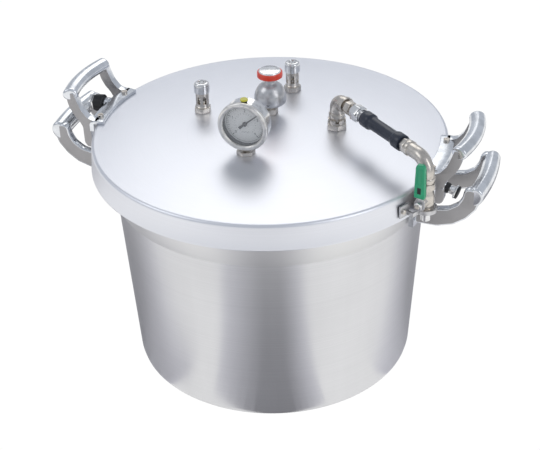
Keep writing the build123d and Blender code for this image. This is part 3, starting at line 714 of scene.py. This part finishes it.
def build_gauge():
    bm = bmesh.new()
    revolved(bm, [
        (0, 0), (28, 0), (32, 1), (34.5, 3.6), (34.5, 23.6), (33, 23.6), (33, 5), (0, 5),
    ], gauge_place(CASE_BACK), 96)
    finished(bm, "gauge_housing", "bright", "lid", ["gauge_case"], 30)

    bm = bmesh.new()
    revolved(bm, [
        (33, 0), (36, 0), (37, 1), (37, 3.6), (36.4, 5.2), (35, 6.2), (33.4, 6.5), (31.4, 6.1),
        (30.2, 5.2), (29.6, 4.2), (29.5, 3.2), (31.6, 2.4), (33, 2.4),
    ], gauge_place(BEZEL_BACK), 96)
    finished(bm, "gauge_rim", "bezel", "lid", ["gauge_bezel"], 50)

    bm = bmesh.new()
    revolved(bm, [(1.6, 0), (30.8, 0), (30.8, 1), (1.6, 1)], gauge_place(DIAL_BACK), 96)
    finished(bm, "gauge_face", "dial", "lid", ["gauge_dial"])
    # Black ring lining the bezel's inner wall: painted shade, for the dark crescent the rim throws
    # at the edge of the dial.
    bm = bmesh.new()
    revolved(bm, [(30.0, 0), (32.4, 0), (32.4, 9), (30.0, 9)], gauge_place(-0.4), 96)
    finished(bm, "bezel_shade_ring", "black", "lid")

    bm = bmesh.new()
    dial = gauge_place(DIAL_BACK)
    for index in range(MARKS + 1):
        size = (4.4 if index % 5 == 0 else 2.6, 0.9 if index % 10 == 0 else 0.4, 0.12)
        spot = Matrix.Translation(Vector((27.4 - size[0] / 2, 0, 1.0)) * MM)
        block(bm, size, dial @ dial_turn(index, MARKS) @ spot, 0)
    for index in range(INNER_MARKS):
        spot = Matrix.Translation(Vector((15.6, 0, 1.0)) * MM)
        block(bm, (1.6, 0.35, 0.12), dial @ dial_turn(index, INNER_MARKS - 1) @ spot, 0)
    for index in range(6):
        spot = Vector(((index - 2.5) * 2, -13.5 + index % 2, 1.0)) * MM
        block(bm, (1.3, 0.6, 0.1), dial @ Matrix.Translation(spot), 0)
    revolved(bm, [(27.7, 1.0), (28.0, 1.0), (28.0, 1.1), (27.7, 1.1)], dial, 96)
    finished(bm, "dial_scale", "print", "lid")

    for index in range(NUMBERS):
        dial_number(str(index), dial_turn(index, NUMBERS - 1) @ Vector((20.0, 0, 0)))

    bm = bmesh.new()
    needle = gauge_place(NEEDLE_AT) @ Matrix.Rotation(radians(40), 4, "Z")
    plate(bm, [(-11, -2.2), (-4, -1.4), (25, -0.5), (25, 0.5), (-4, 1.4), (-11, 2.2)],
          0.8, 0, 0.12, needle)
    revolved(bm, [(0, -4), (1.4, -4), (1.4, -1.4), (3.3, -1.4), (3.3, 1), (2.6, 1.6), (0, 1.6)],
             gauge_place(NEEDLE_AT), 32)
    finished(bm, "pointer", "print", "needle", ["gauge_needle"])

    bm = bmesh.new()
    revolved(bm, [(0, 0), (32.6, 0), (32.6, 0.9), (29, 1.5), (0, 1.9)],
             gauge_place(GLASS_BACK), 96)
    finished(bm, "gauge_window", "glass", "lid", ["gauge_lens"])

    stem = centre("gauge_socket")
    bm = bmesh.new()
    foot = upright(Vector((stem.x, stem.y, LID_TOP)))
    prism(bm, 6, 24, 6, foot)
    revolved(bm, [(0, 6), (6, 6), (6, 12.5), (0, 12.5)], foot, 32)
    stub(bm, 6.5, foot)
    finished(bm, "gauge_stem", "nickel", "lid", ["gauge_socket"])

    bm = bmesh.new()
    crown = upright(Vector((stem.x, stem.y, low("gauge_fill_plug").z)))
    revolved(bm, [(0, 0), (4.5, 0), (4.5, 5.5), (0, 5.5)], crown, 32, 0.4 * MM)
    finished(bm, "fill_plug", "black", "lid", ["gauge_fill_plug"])
    bm = bmesh.new()
    crown = upright(Vector((stem.x, stem.y, low("gauge_fill_cap").z)))
    revolved(bm, [(0, 0), (5.5, 0), (5.5, 1.6), (4.7, 2.5), (0, 2.5)], crown, 32)
    finished(bm, "fill_cap", "cap", "lid", ["gauge_fill_cap"])


def dial_number(text, spot):
    """One generic number on the dial, made a mesh and set in place."""
    curve = bpy.data.curves.new("number_" + text, "FONT")
    curve.body = text
    curve.size = sizes().dial_number
    curve.align_x = "CENTER"
    curve.align_y = "CENTER"
    curve.extrude = 0.05 * MM
    holder = bpy.data.objects.new("number_" + text, curve)
    bpy.context.scene.collection.objects.link(holder)
    mesh = bpy.data.meshes.new_from_object(holder)
    bpy.data.objects.remove(holder)
    place = gauge_place(-0.42) @ Matrix.Translation((spot.x * MM, spot.y * MM, 0))
    mesh.transform(place)
    mesh.materials.clear()
    mesh.materials.append(FINISHES["print"])
    piece = bpy.data.objects.new("dial_number_" + text, mesh)
    bpy.context.scene.collection.objects.link(piece)
    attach(piece, "lid")


# ---- weight regulator ----------------------------------------------------------------
def build_regulator():
    at = centre("regulator_vent")
    foot = upright(Vector((at.x, at.y, LID_TOP)))
    bm = bmesh.new()
    prism(bm, 6, 20, 10, foot)
    revolved(bm, [(0, 10), (8, 10), (8, 12), (6, 12.6), (6, 27), (5, 28), (0, 28)], foot, 32)
    stub(bm, 6, foot)
    finished(bm, "vent_pipe", "nickel", "lid", ["regulator_vent"])

    bm = bmesh.new()
    revolved(bm, [
        (7, 18), (19.4, 18), (21.6, 18.8), (23.2, 20.6), (24, 24), (24, 27), (23.6, 31),
        (22.6, 35.6), (21, 40), (18.8, 43.8), (16, 47), (12.8, 49.6), (10, 51.2), (8.5, 52.8),
        (8.3, 55), (8.3, 60), (0, 60), (0, 30), (7, 30),
    ], foot, 72)
    finished(bm, "weight_bell", "steel", "weight", ["regulator_weight"], 40)
    # Black disc on the bell's side: painted shade standing for the weight's port hole.
    bm = bmesh.new()
    toward = Vector((sin(radians(12)), -cos(radians(12)), 0.25)).normalized()
    spot = Vector((at.x, at.y, LID_TOP + 20.0 * MM)) + toward * (22.6 * MM)
    revolved(bm, [(0, 0), (2.6, 0), (2.6, 1.8), (0, 1.8)], along(spot, toward), 24)
    finished(bm, "weight_port_shade", "black", "weight")

    bm = bmesh.new()
    revolved(bm, [
        (16.6, 0), (18, 0), (18.8, 0.7), (19, 2), (19, 6.8), (18.7, 7.8), (17.9, 8.5),
        (16.6, 8.5),
    ], upright(Vector((at.x, at.y, low("regulator_ring").z))), 72)
    finished(bm, "weight_ring", "ring", "weight", ["regulator_ring"])

    bm = bmesh.new()
    revolved(bm, [
        (0, 60), (16, 60), (16.8, 60.5), (16.5, 61), (16.5, 70), (16.1, 70.9), (15, 71.5),
        (0, 71.5),
    ], foot, 72)
    finished(bm, "weight_knob", "knob", "weight", ["regulator_knob"])


# ---- safety valves -------------------------------------------------------------------
def build_safety_valves():
    for name in ("front", "back"):
        at = centre("safety_cap_" + name)
        foot = upright(Vector((at.x, at.y, LID_TOP)), 0.3 if name == "front" else 0.9)
        bm = bmesh.new()
        prism(bm, 6, 23, 8.5, foot)
        revolved(bm, [
            (0, 8.4), (10.4, 8.4), (11, 9.4), (10.4, 10.4), (9.8, 11), (9.8, 15), (0, 15),
        ], foot, 40)
        for index in range(6):
            turn = foot @ Matrix.Rotation(radians(60 * index + 30), 4, "Z")
            block(bm, (2.2, 4.6, 17.5), turn @ Matrix.Translation((8.7 * MM, 0, 14.8 * MM)), 0.5)
        revolved(bm, [(7.6, 27), (9.8, 27), (9.8, 32), (7.6, 32)], foot, 40)
        stub(bm, 6, foot)
        finished(bm, "safety_cage_" + name, "nickel", "lid", ["safety_body_" + name], 35)

        bm = bmesh.new()
        revolved(bm, [
            (7.4, 32), (11, 32), (11.5, 32.6), (11.5, 45), (11.1, 46.4), (10, 47.4), (8.4, 48),
            (7.2, 48), (6.8, 47), (0, 47), (0, 41), (7.4, 41),
        ], foot, 48)
        for index in range(18):
            turn = foot @ Matrix.Rotation(radians(20 * index), 4, "Z")
            block(bm, (0.5, 1.6, 9), turn @ Matrix.Translation((11.25 * MM, 0, 34.4 * MM)), 0)
        finished(bm, "safety_cap_top_" + name, "bright", "lid", ["safety_cap_" + name], 35)
        # Black discs on the cap's top: painted shade standing for its vent holes.
        bm = bmesh.new()
        for index in range(4):
            turn = foot @ Matrix.Rotation(radians(90 * index + 45), 4, "Z")
            spot = turn @ Matrix.Translation((4.2 * MM, 0, 46.9 * MM))
            revolved(bm, [(0, 0), (1.0, 0), (1.0, 0.3), (0, 0.3)], spot, 16)
        finished(bm, "safety_cap_hole_shade_" + name, "black", "lid")


# ---- steam release line --------------------------------------------------------------
# Height of the straight run over the lid, and distances along it.
RUN_HEIGHT = 46.0
NIPPLE_FROM = 26.0
UNION_FROM = 44.0
TUBE_FROM, TUBE_LENGTH = 47.0, 117.0
SLEEVE_FROM, SLEEVE_LENGTH = 71.0, 90.0
OUTER_LEG_FROM = 164.0


def run_line():
    """Start, direction and length of the straight run between the two elbows."""
    start = centre("steam_base")
    drop = joint_point("lever_turn")
    height = LID_TOP + RUN_HEIGHT * MM
    start = Vector((start.x, start.y, height))
    end = Vector((drop.x, drop.y, height))
    return start, (end - start).normalized(), end


def on_run(distance, spin=0.0):
    """Frame on the straight run, distance mm from the vent's axis."""
    start, direction, _ = run_line()
    return along(start + direction * (distance * MM), direction, spin)


def build_steam_line():
    start, direction, drop = run_line()
    foot = upright(Vector((start.x, start.y, LID_TOP)), 0.35)
    bm = bmesh.new()
    prism(bm, 6, 27, 9, foot)
    revolved(bm, [(0, 9), (13, 9), (13, 12), (9.4, 12), (9.4, 12.2), (0, 12.2)], foot, 48,
             0.4 * MM)
    for index in range(6):
        turn = foot @ Matrix.Rotation(radians(60 * index), 4, "Z")
        block(bm, (3.6, 8.6, 5), turn @ Matrix.Translation((11.2 * MM, 0, 11.4 * MM)), 0.5)
    stub(bm, 8, foot)
    finished(bm, "vent_castle_nut", "nickel", "lid", ["steam_base"], 35)

    bm = bmesh.new()
    bent_pipe(bm, start, (0, 0, 1), direction, 15, 10.5, (16, 6))
    revolved(bm, [
        (0, 12.5), (9, 12.5), (9, 17), (11, 17.4), (12, 19), (12, 24), (11, 25.6), (0, 25.6),
    ], foot, 48)
    revolved(bm, [(0, 0), (11, 0.4), (12, 1.6), (12, 7.4), (11.4, 8), (0, 8)], on_run(18), 48)
    finished(bm, "elbow_over_vent", "nickel", "lid", ["steam_elbow_inner"], 35)

    bm = bmesh.new()
    revolved(bm, [(5, 0), (7, 0), (7, 18), (5, 18)], on_run(NIPPLE_FROM), 40)
    prism(bm, 6, 18.5, 11, on_run(NIPPLE_FROM + 3, 0.5))
    finished(bm, "union_thread", "nickel", "lid", ["steam_nipple"], 20)

    bm = bmesh.new()
    prism(bm, 6, 22, 15, on_run(UNION_FROM + 2.5, 0.2))
    revolved(bm, [(0, 0), (8.6, 0), (10, 1), (10.4, 2.5), (0, 2.5)], on_run(UNION_FROM), 48)
    revolved(bm, [(0, 0), (10.2, 0), (9.4, 2.4), (0, 2.4)], on_run(UNION_FROM + 17.6), 48)
    finished(bm, "union_hex", "bright", "lid", ["union_nut"], 35)

    bm = bmesh.new()
    tube = [(5, 0), (7.3, 0), (7.3, TUBE_LENGTH), (5, TUBE_LENGTH)]
    revolved(bm, tube, on_run(TUBE_FROM), 40)
    finished(bm, "steam_tube", "steel", "lid", ["steam_pipe"], 30)

    half = [(7.5, 0), (11, 0), (11.8, 1.2), (11.8, 15), (11.2, 16.6), (9.9, 18), (9.4, 20.5)]
    profile = half + [(r, SLEEVE_LENGTH - z) for r, z in reversed(half)]
    bm = bmesh.new()
    revolved(bm, profile, on_run(SLEEVE_FROM), 64)
    finished(bm, "insulating_sleeve", "sleeve", "lid", ["grip_sleeve"], 40)

    bm = bmesh.new()
    bent_pipe(bm, drop, direction, (0, 0, -1), 22, 9.8, (20, 11))
    prism(bm, 6, 18.5, 8, on_run(OUTER_LEG_FROM, 0.1))
    revolved(bm, [(0, 0), (10, 0), (10.9, 1), (11, 5.4), (10.2, 7), (0, 7)],
             on_run(OUTER_LEG_FROM + 9), 48)
    revolved(bm, [(0, 0), (10.2, 0), (10.9, 1), (10.9, 7), (10.2, 8), (0, 8)],
             upright(Vector((drop.x, drop.y, LID_TOP + 13.2 * MM))), 48)
    finished(bm, "elbow_over_edge", "nickel", "lid", ["steam_elbow_outer"], 35)

    shaft = Vector((drop.x, drop.y, LID_TOP))
    stem = -joint_axis("lever_turn")
    bm = bmesh.new()
    revolved(bm, [
        (0, -26), (8.8, -26), (10.4, -23), (11.2, -19), (11.2, -8), (10.4, -3), (9, 0), (9, 4),
        (0, 4),
    ], upright(shaft), 48)
    prism(bm, 6, 22, 9, upright(shaft + Vector((0, 0, 4 * MM)), 0.2))
    prism(bm, 6, 22, 7, upright(shaft + Vector((0, 0, -32 * MM)), 0.2))
    revolved(bm, [(0, 0), (8, 0), (8, 14), (6.6, 16.5), (0, 16.5)],
             along(joint_point("lever_turn"), stem), 40)
    finished(bm, "ball_valve_body", "nickel", "lid", ["valve_body"], 35)

    bm = bmesh.new()
    end = Vector((drop.x, drop.y, low("steam_nozzle").z))
    revolved(bm, [(4, 0.4), (4.6, 0), (6.4, 0), (7, 0.8), (7, 14), (4, 14)], upright(end), 40)
    finished(bm, "outlet_nozzle", "bright", "lid", ["steam_nozzle"], 35)


def lever_place(offset):
    """Frame on the lever's stem; y runs up the lever."""
    stem = -joint_axis("lever_turn")
    side = Vector((-stem.y, stem.x, 0))
    basis = Matrix((side, Vector((0, 0, 1)), stem)).transposed().to_4x4()
    return Matrix.Translation(joint_point("lever_turn") + stem * (offset * MM)) @ basis


def build_lever():
    bm = bmesh.new()
    plate(bm, [(-8, -4), (-5, -8), (5, -8), (8, -4), (8, 3), (4.5, 9), (4.5, 58), (-4.5, 58),
               (-4.5, 9), (-8, 3)], 2.5, 1.6, 0.4, lever_place(17))
    finished(bm, "lever_bar", "steel", "lever", ["lever_arm"], 35)

    bm = bmesh.new()
    plate(bm, [(-7.6, 11), (7.6, 11), (8.0, 15), (6.6, 58), (4.4, 62), (-4.4, 62), (-6.6, 58),
               (-8.0, 15)], 6.5, 1.6, 1.2, lever_place(15))
    rib = lever_place(21.4)
    for x in (-3.2, 3.2):
        block(bm, (0.8, 23, 0.5), rib @ Matrix.Translation((x * MM, 44 * MM, 0)), 0.15)
    for y in (32.5, 55.5):
        block(bm, (7.2, 0.8, 0.5), rib @ Matrix.Translation((0, y * MM, 0)), 0.15)
    finished(bm, "lever_dip", "lever", "lever", ["lever_sleeve"], 40)

    bm = bmesh.new()
    block(bm, (5.6, 9.5, 0.35), lever_place(21.4) @ Matrix.Translation((0, 23 * MM, 0)), 0.15)
    finished(bm, "lever_patch", "black", "lever")

    bm = bmesh.new()
    prism(bm, 6, 11, 5, lever_place(19.5), 0.6)
    finished(bm, "lever_nut_hex", "bright", "lever", ["lever_nut"], 35)
    bm = bmesh.new()
    revolved(bm, [(0, 7), (3, 7), (3, 25.7), (2.3, 26.4), (0, 26.4)], lever_place(0), 32)
    for index in range(3):
        revolved(bm, [(2.9, 0), (3.2, 0.4), (2.9, 0.8)], lever_place(24.4 + index * 0.6), 32)
    finished(bm, "lever_spindle", "nickel", "lever", ["valve_stem"], 25)


# ---- locks, bracket and fasteners ----------------------------------------------------
def disc(radius, foot, top, edge):
    """Closed profile of a disc with a small chamfer on both rims."""
    return [(0, foot), (radius - edge, foot), (radius, foot + edge), (radius, top - edge),
            (radius - edge, top), (0, top)]


def build_locks():
    for side in ("right", "left"):
        lock, place = LOCKS[side], lock_place(side, 0)
        radius, length = lock["sleeve"]
        bm = bmesh.new()
        revolved(bm, [(4.1, 0), (radius - 0.5, 0), (radius, 0.6), (radius, length - 0.6),
                      (radius - 0.5, length), (4.1, length)], place, 48)
        finished(bm, "lock_bush_" + side, "black", "lid", ["lock_sleeve_" + side])
        bm = bmesh.new()
        start = lock_start(side, "hex")
        revolved(bm, [(0, 1), (4, 1), (4, start + 0.2), (0, start + 0.2)], place, 32)
        prism(bm, 6, *lock["hex"], lock_place(side, start), 0.9)
        radius, length = lock["face"]
        start = lock_start(side, "face")
        revolved(bm, disc(radius, start, start + length, 0.3 * length), place, 48)
        finished(bm, "lock_pin_" + side, "bright", "lock_" + side, ["lock_bolt_" + side], 35)
        bm = bmesh.new()
        radius, length = lock["knob"]
        start = lock_start(side, "knob")
        revolved(bm, disc(radius, start, start + length, 0.3 * length), place, 48)
        finished(bm, "lock_button_" + side, "black", "lock_" + side, ["lock_knob_" + side])


def finish_small_nodes():
    """Carry the small CAD nodes over with their finishes."""
    kept = {
        "band": ("lid_lug_ring",),
        "rubber": ("gasket",),
        "nickel": (
            "bracket_screw", "inner_nut_gauge", "inner_nut_regulator", "inner_nut_safety_front",
            "inner_nut_safety_back", "inner_nut_steam", "safety_poppet_front",
            "safety_poppet_back", "lid_screws_right", "lid_screws_left",
        ),
        "steel": (
            "bracket", "pot_rivets_right", "pot_rivets_left", "safety_spring_front",
            "safety_spring_back", "valve_ball",
        ),
    }
    for finish, nodes in kept.items():
        for node in nodes:
            data = frame["nodes"][node].data
            data.materials.clear()
            data.materials.append(FINISHES[finish])


# ---- studio --------------------------------------------------------------------------
def glow_finish(name, colour, strength):
    """Evenly glowing surface for a panel of the studio."""
    made = bpy.data.materials.new(name)
    made.use_nodes = True
    shader = made.node_tree.nodes["Principled BSDF"]
    shader.inputs["Base Color"].default_value = (0, 0, 0, 1)
    shader.inputs["Roughness"].default_value = 0.9
    shader.inputs["Specular IOR Level"].default_value = 0.0
    shader.inputs["Emission Color"].default_value = (*colour, 1)
    shader.inputs["Emission Strength"].default_value = strength
    return made


def stage_panel(name, bm, colour, glow):
    """Make a bmesh a panel of the studio."""
    mesh = bpy.data.meshes.new(name)
    bm.to_mesh(mesh)
    bm.free()
    mesh.materials.append(glow_finish(name, colour, glow))
    panel = bpy.data.objects.new(name, mesh)
    bpy.context.scene.collection.objects.link(panel)
    return panel


def card(name, size, place, target, glow):
    """A plain white glowing panel that faces a point."""
    bm = bmesh.new()
    bmesh.ops.create_grid(bm, x_segments=1, y_segments=1, size=0.5)
    bmesh.ops.scale(bm, vec=(size[0], size[1], 1), verts=bm.verts)
    way = (Vector(target) - Vector(place)).to_track_quat("Z", "Y").to_matrix().to_4x4()
    bmesh.ops.transform(bm, matrix=Matrix.Translation(place) @ way, verts=bm.verts)
    return stage_panel(name, bm, (1.0, 1.0, 1.0), glow)


def lamp(name, place, target, size, power):
    """A rectangular area lamp aimed at a point."""
    data = bpy.data.lights.new(name, "AREA")
    data.shape = "RECTANGLE"
    data.size, data.size_y = size
    data.energy = power
    holder = bpy.data.objects.new(name, data)
    way = (Vector(target) - Vector(place)).to_track_quat("-Z", "Y")
    holder.matrix_world = Matrix.Translation(place) @ way.to_matrix().to_4x4()
    bpy.context.scene.collection.objects.link(holder)


VIEW_FROM = Vector((0.5971, -1.5556, 1.2498))
VIEW_ALONG = Vector((-0.3047, 0.7893, -0.5331))
VIEW_UP = Vector((-0.1659, 0.5072, 0.8457))
LENS_MM = 85.9
SENSOR_MM = 36.0
AIR_COLOUR = (0.86, 0.91, 1.0, 1)
AIR_STRENGTH = 0.60
FLOOR_GLOW = 1.02
SOFT_BOX_GLOW = 1.85
# Each flag is stacked cards, darker and narrower to the top, so its edge is soft.
FLAG_LEVELS = 6


def floor_flag(name, corners, shade, level):
    """Dark card on the floor that only the metal sees; corners are (left, toward the camera)."""
    ahead = Vector((VIEW_FROM.x, VIEW_FROM.y, 0)).normalized()
    aside = Vector((ahead.y, -ahead.x, 0))
    bm = bmesh.new()
    bm.faces.new([
        bm.verts.new(aside * left + ahead * toward + Vector((0, 0, 0.001 + 0.0004 * level)))
        for left, toward in corners
    ])
    panel = stage_panel(name, bm, (shade, shade, shade * 1.08), 1.0)
    panel.visible_camera = False


def build_stage():
    scene = bpy.context.scene
    scene.view_settings.view_transform = "Standard"
    world = bpy.data.worlds.new("studio_air")
    scene.world = world
    world.use_nodes = True
    world.node_tree.nodes["Background"].inputs[0].default_value = AIR_COLOUR
    world.node_tree.nodes["Background"].inputs[1].default_value = AIR_STRENGTH

    card("floor", (16, 16), (0, 0, -0.0005), (0, 0, 1), FLOOR_GLOW)
    box = card("soft_box", (1.9, 1.5), (-0.75, 2.05, 2.45), (0, 0, 0.36), SOFT_BOX_GLOW)
    box.visible_camera = False
    for level in range(FLAG_LEVELS):
        shade, spread = 0.70 - 0.085 * level, 0.25 - 0.042 * level
        floor_flag("flag_front_%d" % level, [
            (0.02 + 0.4 * spread, 0.21), (-0.02 - 0.25 * spread, 0.21),
            (-0.03 - 0.9 * spread, 0.85), (0.03 + 2.0 * spread, 0.85),
        ], shade, level)
        floor_flag("flag_left_%d" % level, [
            (0.18, 0.03 + 0.7 * spread), (0.80, -0.30 + 1.4 * spread), (0.80, -0.80),
            (0.10, -0.80), (0.10, -0.15),
        ], shade, level)
        floor_flag("flag_right_%d" % level, [
            (-0.18, 0.03 + 0.5 * spread), (-0.80, -0.30 + 1.0 * spread), (-0.80, -0.80),
            (-0.10, -0.80), (-0.10, -0.15),
        ], shade + 0.06, level)
    lamp("key_left", (-1.9, -1.1, 2.3), (0, 0, 0.2), (1.4, 1.4), 8)
    lamp("fill_right", (2.0, -0.7, 1.6), (0, 0, 0.2), (0.8, 1.8), 8)

    data = bpy.data.cameras.new("view")
    data.sensor_width = SENSOR_MM
    data.lens = LENS_MM
    camera = bpy.data.objects.new("view", data)
    look = VIEW_ALONG.normalized()
    up = (VIEW_UP - look * VIEW_UP.dot(look)).normalized()
    right = look.cross(up)
    basis = Matrix((right, up, -look)).transposed().to_4x4()
    camera.matrix_world = Matrix.Translation(VIEW_FROM) @ basis
    scene.collection.objects.link(camera)
    scene.camera = camera


# ---- operators and panel -------------------------------------------------------------
class CANNER_OT_finishes(bpy.types.Operator):
    """Make every material."""

    bl_idname = "canner.finishes"
    bl_label = "Mix Finishes"

    def execute(self, context):
        mix_finishes()
        return {"FINISHED"}


class CANNER_OT_pot(bpy.types.Operator):
    """Spin the pot and its rim band."""

    bl_idname = "canner.pot"
    bl_label = "Build Pot"

    def execute(self, context):
        build_pot()
        return {"FINISHED"}


class CANNER_OT_lid(bpy.types.Operator):
    """Spin the lid with its skirt."""

    bl_idname = "canner.lid"
    bl_label = "Build Lid"

    def execute(self, context):
        build_lid()
        return {"FINISHED"}


class CANNER_OT_handles(bpy.types.Operator):
    """Cast handles of the lid and the pot."""

    bl_idname = "canner.handles"
    bl_label = "Build Handles"

    def execute(self, context):
        build_handles()
        return {"FINISHED"}


class CANNER_OT_gauge(bpy.types.Operator):
    """Gauge with its dial and pointer."""

    bl_idname = "canner.gauge"
    bl_label = "Build Gauge"

    def execute(self, context):
        build_gauge()
        return {"FINISHED"}


class CANNER_OT_regulator(bpy.types.Operator):
    """Weight, ring and knob."""

    bl_idname = "canner.regulator"
    bl_label = "Build Regulator"

    def execute(self, context):
        build_regulator()
        return {"FINISHED"}


class CANNER_OT_safety_valves(bpy.types.Operator):
    """Both caged valves."""

    bl_idname = "canner.safety_valves"
    bl_label = "Build Safety Valves"

    def execute(self, context):
        build_safety_valves()
        return {"FINISHED"}


class CANNER_OT_steam_line(bpy.types.Operator):
    """Elbows, union, sleeve and valve."""

    bl_idname = "canner.steam_line"
    bl_label = "Build Steam Line"

    def execute(self, context):
        build_steam_line()
        return {"FINISHED"}


class CANNER_OT_lever(bpy.types.Operator):
    """Lever of the ball valve."""

    bl_idname = "canner.lever"
    bl_label = "Build Lever"

    def execute(self, context):
        build_lever()
        return {"FINISHED"}


class CANNER_OT_locks(bpy.types.Operator):
    """Both lid locks."""

    bl_idname = "canner.locks"
    bl_label = "Build Locks"

    def execute(self, context):
        build_locks()
        return {"FINISHED"}


class CANNER_OT_small_parts(bpy.types.Operator):
    """Finishes on the small nodes."""

    bl_idname = "canner.small_parts"
    bl_label = "Finish Small Parts"

    def execute(self, context):
        finish_small_nodes()
        return {"FINISHED"}


class CANNER_OT_stage(bpy.types.Operator):
    """Floor, lamps and camera."""

    bl_idname = "canner.stage"
    bl_label = "Set the Stage"

    def execute(self, context):
        build_stage()
        return {"FINISHED"}


STEPS = [
    CANNER_OT_finishes,
    CANNER_OT_pot,
    CANNER_OT_lid,
    CANNER_OT_handles,
    CANNER_OT_gauge,
    CANNER_OT_regulator,
    CANNER_OT_safety_valves,
    CANNER_OT_steam_line,
    CANNER_OT_lever,
    CANNER_OT_locks,
    CANNER_OT_small_parts,
    CANNER_OT_stage,
]


class CANNER_PT_panel(bpy.types.Panel):
    """Lists the building steps."""

    bl_label = "Pressure Canner"
    bl_space_type = "VIEW_3D"
    bl_region_type = "UI"
    bl_category = "Canner"

    def draw(self, context):
        for operator in STEPS:
            self.layout.operator(operator.bl_idname)


CLASSES = [CannerSizes, CannerColours, *STEPS, CANNER_PT_panel]


def register():
    for cls in CLASSES:
        bpy.utils.register_class(cls)
    bpy.types.Scene.canner_sizes = bpy.props.PointerProperty(type=CannerSizes)
    bpy.types.Scene.canner_colours = bpy.props.PointerProperty(type=CannerColours)


def unregister():
    del bpy.types.Scene.canner_colours
    del bpy.types.Scene.canner_sizes
    for cls in reversed(CLASSES):
        bpy.utils.unregister_class(cls)


def main():
    register()
    for operator in STEPS:
        getattr(bpy.ops.canner, operator.bl_idname.split(".")[1])()


if __name__ == "__main__":
    main()
